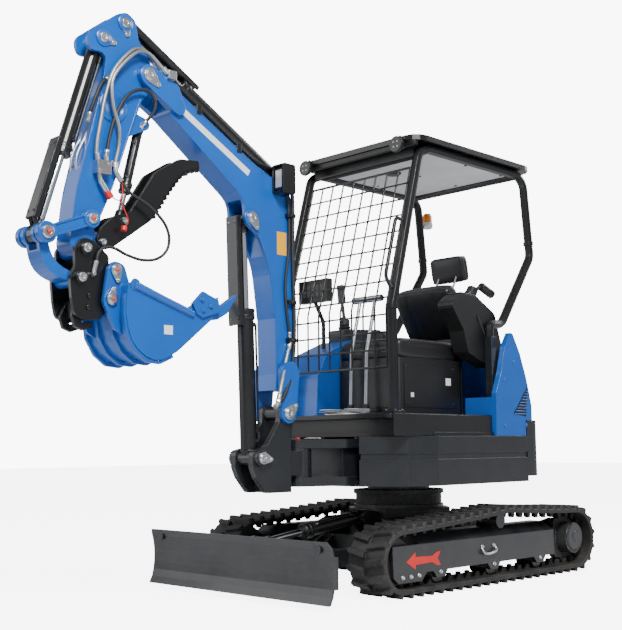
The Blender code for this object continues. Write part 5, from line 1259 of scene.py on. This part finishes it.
# ---- Canopy sleeves and foot bolts ---------------------------------------------------
# Welded sleeves where the tube is joined, and four bolts through each front foot.
edge = bmesh.new()
for hand in (-1, 1):
    for y in (-0.575, -0.525):
        bolt(edge, (hand * (POST_X + 0.030), y, 0.879), (0, 0, 1), 0.008)
        bolt(edge, (hand * (POST_X - 0.030), y, 0.879), (0, 0, 1), 0.008)
    turned(edge, [(0.0255, -0.012), (0.030, -0.012), (0.030, 0.012), (0.0255, 0.012)],
           (hand * POST_X, -0.551, 1.405), (0, 0, 1), 24)
    turned(edge, [(0.0255, -0.010), (0.029, -0.010), (0.029, 0.010), (0.0255, 0.010)],
           (hand * POST_X, 0.690, 1.880), (0, -0.1, 1), 24)
place("canopy_bolts_and_sleeves", edge, "house", POWDER_BLACK, angle=30)

# ---- Work lamps ----------------------------------------------------------------------
# Round black housings with cooling fins, four reflectors behind each clear lens, and a
# stud to the roof.
case = bmesh.new()
glass = bmesh.new()
bezel = bmesh.new()
for x in (-0.340, 0.340):
    turned(case, [(0, 0), (0.022, 0), (0.036, 0.010), (0.0435, 0.024), (0.0435, 0.035),
                  (0.038, 0.036), (0, 0.036)], (x, -0.3930, 2.280), (0, -1, 0), 36)
    for k in range(5):
        block(case, (x - 0.034, -0.408, 2.255 + k * 0.012),
              (x + 0.034, -0.394, 2.259 + k * 0.012))
    stick(case, (x, -0.405, 2.312), (x, -0.388, 2.330), 0.007, 12)
    turned(bezel, [(0.033, 0), (0.041, 0), (0.041, 0.003), (0.033, 0.003)],
           (x, -0.4285, 2.280), (0, -1, 0), 36)
    for a, b in ((-0.013, -0.013), (0.013, -0.013), (-0.013, 0.013), (0.013, 0.013)):
        turned(glass, [(0, 0), (0.011, 0), (0.011, 0.0015), (0, 0.0035)],
               (x + a, -0.4288, 2.280 + b), (0, -1, 0), 20)
lamps = place("work_lamp_cases", case, "house", BLACK_PLASTIC, 30)
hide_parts("work_light_left", "work_light_right")
place("work_lamp_bezels", bezel, "house", POWDER_BLACK)
place("work_lamp_lenses", glass, "house", finish("lamp lens", (0.34, 0.35, 0.35), 0.15,
      coat=0.8, bump=0.0, tone=0.03))

# ---- Beacon --------------------------------------------------------------------------
# A ribbed amber lens on a pale base, on a steel bracket from the right rear post.
base = bmesh.new()
block(base, (-0.420, 0.6945, 2.0962), (-0.380, 0.7660, 2.1078))
turned(base, [(0, 0), (0.033, 0), (0.034, 0.004), (0.034, 0.028), (0.031, 0.032),
              (0, 0.032)], (-0.400, 0.7480, 2.1050), (0, 0, 1), 32)
stand = place("beacon_base", base, "house", WHITE_FILM)
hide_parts("beacon")
dome = bmesh.new()
profile = [(0.030, 0)]
for k in range(9):
    profile += [(0.0305, 0.004 + k * 0.0048), (0.0290, 0.0064 + k * 0.0048)]
profile += [(0.027, 0.052), (0.020, 0.060), (0, 0.0625)]
turned(dome, profile, (-0.400, 0.7480, 2.1365), (0, 0, 1), 32)
place("beacon_lens", dome, "house", finish("amber lens", (0.95, 0.27, 0.01), 0.14,
      coat=0.7, bump=0.03, tone=0.05), 25)

# ---- House covers and skirts ---------------------------------------------------------------
# Pressed steel covers with louvres, a triangular mesh vent and dome-headed screws; the
# floor has a plain side apron that closes the frame below it.
HOUSE_FACE = 0.472
dark = bmesh.new()
screws = bmesh.new()
for hand in (-1, 1):
    face = hand * (HOUSE_FACE + 0.0002)
    a, b, c = Vector((0.386, 0.879)), Vector((0.522, 1.027)), Vector((0.497, 0.863))
    inner = (a + b + c) / 3
    tri = [inner + (p - inner) * 1.05 for p in (a, b, c)]
    low, high = sorted((face, face + hand * 0.0012))
    prism(dark, [(p.x, p.y) for p in tri], low, high)
    for k in range(9):
        z = 0.872 + k * 0.016
        left = 0.390 + max(0.0, z - 0.879) * 0.92
        right = 0.500 + (z - 0.863) * 0.15
        if right - left > 0.012:
            low, high = sorted((face + hand * 0.001, face + hand * 0.0045))
            block(screws, (low, left, z), (high, right, z + 0.005))
    for y, z in ((0.394, 1.160), (0.295, 0.806), (0.500, 0.812), (0.300, 1.060)):
        turned(screws, [(0.011, 0), (0.011, 0.002), (0.008, 0.005), (0, 0.006)],
               (hand * HOUSE_FACE, y, z), (hand, 0, 0), 18)
place("cover_vents", dark, "house", POWDER_BLACK)
place("cover_slats_and_screws", screws, "house", SKY_BLUE, angle=30)

# ---- Swing pin plugs -----------------------------------------------------------------
# Moulded red plugs, pushed over the grease nipples on top of the two pins that the boom
# swings on.
plugs = bmesh.new()
for z in (0.5525, 0.7415):
    turned(plugs, [(0.011, 0), (0.011, 0.006), (0.006, 0.010), (0, 0.010)],
           (0.0, -0.830, z), (0, 0, 1), 16)
place("swing_pin_plugs", plugs, "house", RED_PLASTIC)

# ---- Floor aprons --------------------------------------------------------------------
# Flat steel plates, painted black and bolted on, that close both sides of the floor
# frame.
apron = bmesh.new()
for hand in (-1, 1):
    low, high = sorted((hand * 0.4480, hand * 0.4510))
    prism(apron, [(-0.612, 0.762), (-0.600, 0.754), (0.205, 0.754), (0.205, 0.862),
                  (-0.612, 0.862)], low, high)
place("floor_apron", apron, "house", POWDER_BLACK, bevel=0.002)

# ---- Rear bonnet ---------------------------------------------------------------------
# The hinged engine cover has two banks of black louvres and a round key latch near its
# lower edge.
latch = bmesh.new()
for x in (-0.09, 0.09):
    for k in range(5):
        block(latch, (x - 0.07, 0.6495 - k * 0.0115, 1.095 + k * 0.032),
              (x + 0.07, 0.6620 - k * 0.0118, 1.102 + k * 0.032))
turned(latch, [(0, 0), (0.018, 0), (0.018, 0.006), (0.012, 0.008), (0, 0.008)],
       (0.0, 0.6950, 0.955), (0, 0.96, 0.27), 24)
place("bonnet_louvres", latch, "rear_bonnet", POWDER_BLACK, bevel=0.001)

# ---- Track frames --------------------------------------------------------------------
# Welded steel frames with the bolts of the bottom rollers, a pressed cover over each
# drive motor, a bent lifting loop and a plain red arrow of film.
FRAME_FACE, LOOP_FACE, MOTOR_AT = 0.585, 0.602, (0.750, 0.190)
bolts = bmesh.new()
motors = bmesh.new()
arrow = bmesh.new()
for hand in (-1, 1):
    for y, z in ((-0.725, 0.092), (-0.665, 0.092), (-0.605, 0.094), (-0.44, 0.098),
                 (0.0, 0.098), (0.42, 0.098), (-0.10, 0.192), (0.0, 0.192)):
        bolt(bolts, (hand * (FRAME_FACE + 0.0002), y, z), (hand, 0, 0), 0.009)
    loop = [(hand * FRAME_FACE, -0.105, 0.186), (hand * LOOP_FACE, -0.100, 0.160),
            (hand * LOOP_FACE, -0.050, 0.156), (hand * LOOP_FACE, 0.000, 0.168),
            (hand * FRAME_FACE, 0.005, 0.190)]
    sweep(bolts, smooth_path(loop, 0.01), 0.0065, 10)
    turned(motors, [(0, 0), (0.078, 0), (0.078, 0.010), (0.070, 0.016), (0.030, 0.016),
                    (0.026, 0.020), (0, 0.020)], (hand * (FRAME_FACE + 0.005), *MOTOR_AT),
           (hand, 0, 0), 40)
    low, high = sorted((hand * (FRAME_FACE + 0.0003), hand * (FRAME_FACE + 0.0008)))
    prism(arrow, [(-0.698, 0.163), (-0.630, 0.205), (-0.630, 0.182), (-0.505, 0.178),
                  (-0.470, 0.196), (-0.440, 0.196), (-0.462, 0.163), (-0.440, 0.130),
                  (-0.470, 0.130), (-0.505, 0.148), (-0.630, 0.144), (-0.630, 0.121)],
          low, high)
place("frame_bolts", bolts, "undercarriage", PIN_ZINC, angle=30)
place("motor_covers", motors, "undercarriage", ANTHRACITE, angle=30)
place("frame_arrows", arrow, "undercarriage", RED_PLASTIC)

# ---- Blade ---------------------------------------------------------------------------
# A curved steel plate with a ring welded round the hole at each top corner, where a
# shackle goes.
rings = bmesh.new()
for x in (-0.560, 0.560):
    turned(rings, [(0.016, 0), (0.024, 0), (0.024, 0.004), (0.016, 0.004)],
           (x, -1.2650, 0.262), (0, -1, 0), 24)
place("blade_corner_rings", rings, "blade", ANTHRACITE)

# ---- Studio -----------------------------------------------------------------------------
# A pale floor under a white backdrop, broad soft lamps, and a long lens held low in front
# of the machine's left corner.


def studio():
    """Floor, lamps, world light and camera."""
    scene = bpy.context.scene
    mesh = bpy.data.meshes.new("studio_floor")
    solid = bmesh.new()
    bmesh.ops.create_grid(solid, x_segments=1, y_segments=1, size=30.0)
    solid.to_mesh(mesh)
    solid.free()
    floor = bpy.data.objects.new("studio_floor", mesh)
    scene.collection.objects.link(floor)
    pale = bpy.data.materials.new("pale floor")
    pale.use_nodes = True
    shader = pale.node_tree.nodes["Principled BSDF"]
    shader.inputs["Base Color"].default_value = (0.86, 0.86, 0.87, 1)
    shader.inputs["Roughness"].default_value = 0.9
    shader.inputs["Specular IOR Level"].default_value = 0.1
    shader.inputs["Emission Color"].default_value = (1.0, 1.0, 1.0, 1)
    ray = pale.node_tree.nodes.new("ShaderNodeLightPath")
    glow = pale.node_tree.nodes.new("ShaderNodeMath")
    glow.operation = "MULTIPLY"
    glow.inputs[1].default_value = 6.0
    pale.node_tree.links.new(ray.outputs["Is Camera Ray"], glow.inputs[0])
    pale.node_tree.links.new(glow.outputs[0], shader.inputs["Emission Strength"])
    mesh.materials.append(pale)
    world = bpy.data.worlds.new("studio air")
    world.use_nodes = True
    tree = world.node_tree
    air = tree.nodes["Background"]
    air.inputs["Color"].default_value = (0.95, 0.97, 1.0, 1)
    air.inputs["Strength"].default_value = 0.42
    backdrop = tree.nodes.new("ShaderNodeBackground")
    backdrop.inputs["Color"].default_value = (1.0, 1.0, 1.0, 1)
    backdrop.inputs["Strength"].default_value = 9.0
    seen = tree.nodes.new("ShaderNodeLightPath")
    choose = tree.nodes.new("ShaderNodeMixShader")
    tree.links.new(seen.outputs["Is Camera Ray"], choose.inputs[0])
    tree.links.new(air.outputs[0], choose.inputs[1])
    tree.links.new(backdrop.outputs[0], choose.inputs[2])
    tree.links.new(choose.outputs[0], tree.nodes["World Output"].inputs["Surface"])
    scene.world = world
    for name, spot, aim, size, power in (
            ("key", (4.5, -3.0, 5.5), (0, -0.5, 1.0), 1.6, 640),
            ("fill", (-4.0, -5.0, 3.0), (0, -0.6, 1.2), 4.0, 110),
            ("rim", (1.0, 6.0, 5.0), (0, 0.5, 1.2), 3.0, 220)):
        data = bpy.data.lights.new(name + " lamp", "AREA")
        data.size = size
        data.energy = power
        lamp = bpy.data.objects.new(name + "_lamp", data)
        scene.collection.objects.link(lamp)
        lamp.location = spot
        lamp.rotation_euler = (Vector(aim) - Vector(spot)).to_track_quat("-Z", "Y").to_euler()
    data = bpy.data.cameras.new("camera")
    camera = bpy.data.objects.new("camera", data)
    scene.collection.objects.link(camera)
    data.lens = 61.34
    data.clip_end = 200
    turn = (Euler((radians(90 + 6.916), 0, radians(45.007))).to_matrix()
            @ Matrix.Rotation(radians(-0.545), 3, "Z"))
    camera.matrix_world = (Matrix.Translation((3.9069, -4.6347 + MIDDLE, 0.7115))
                           @ turn.to_4x4())
    scene.camera = camera


studio()
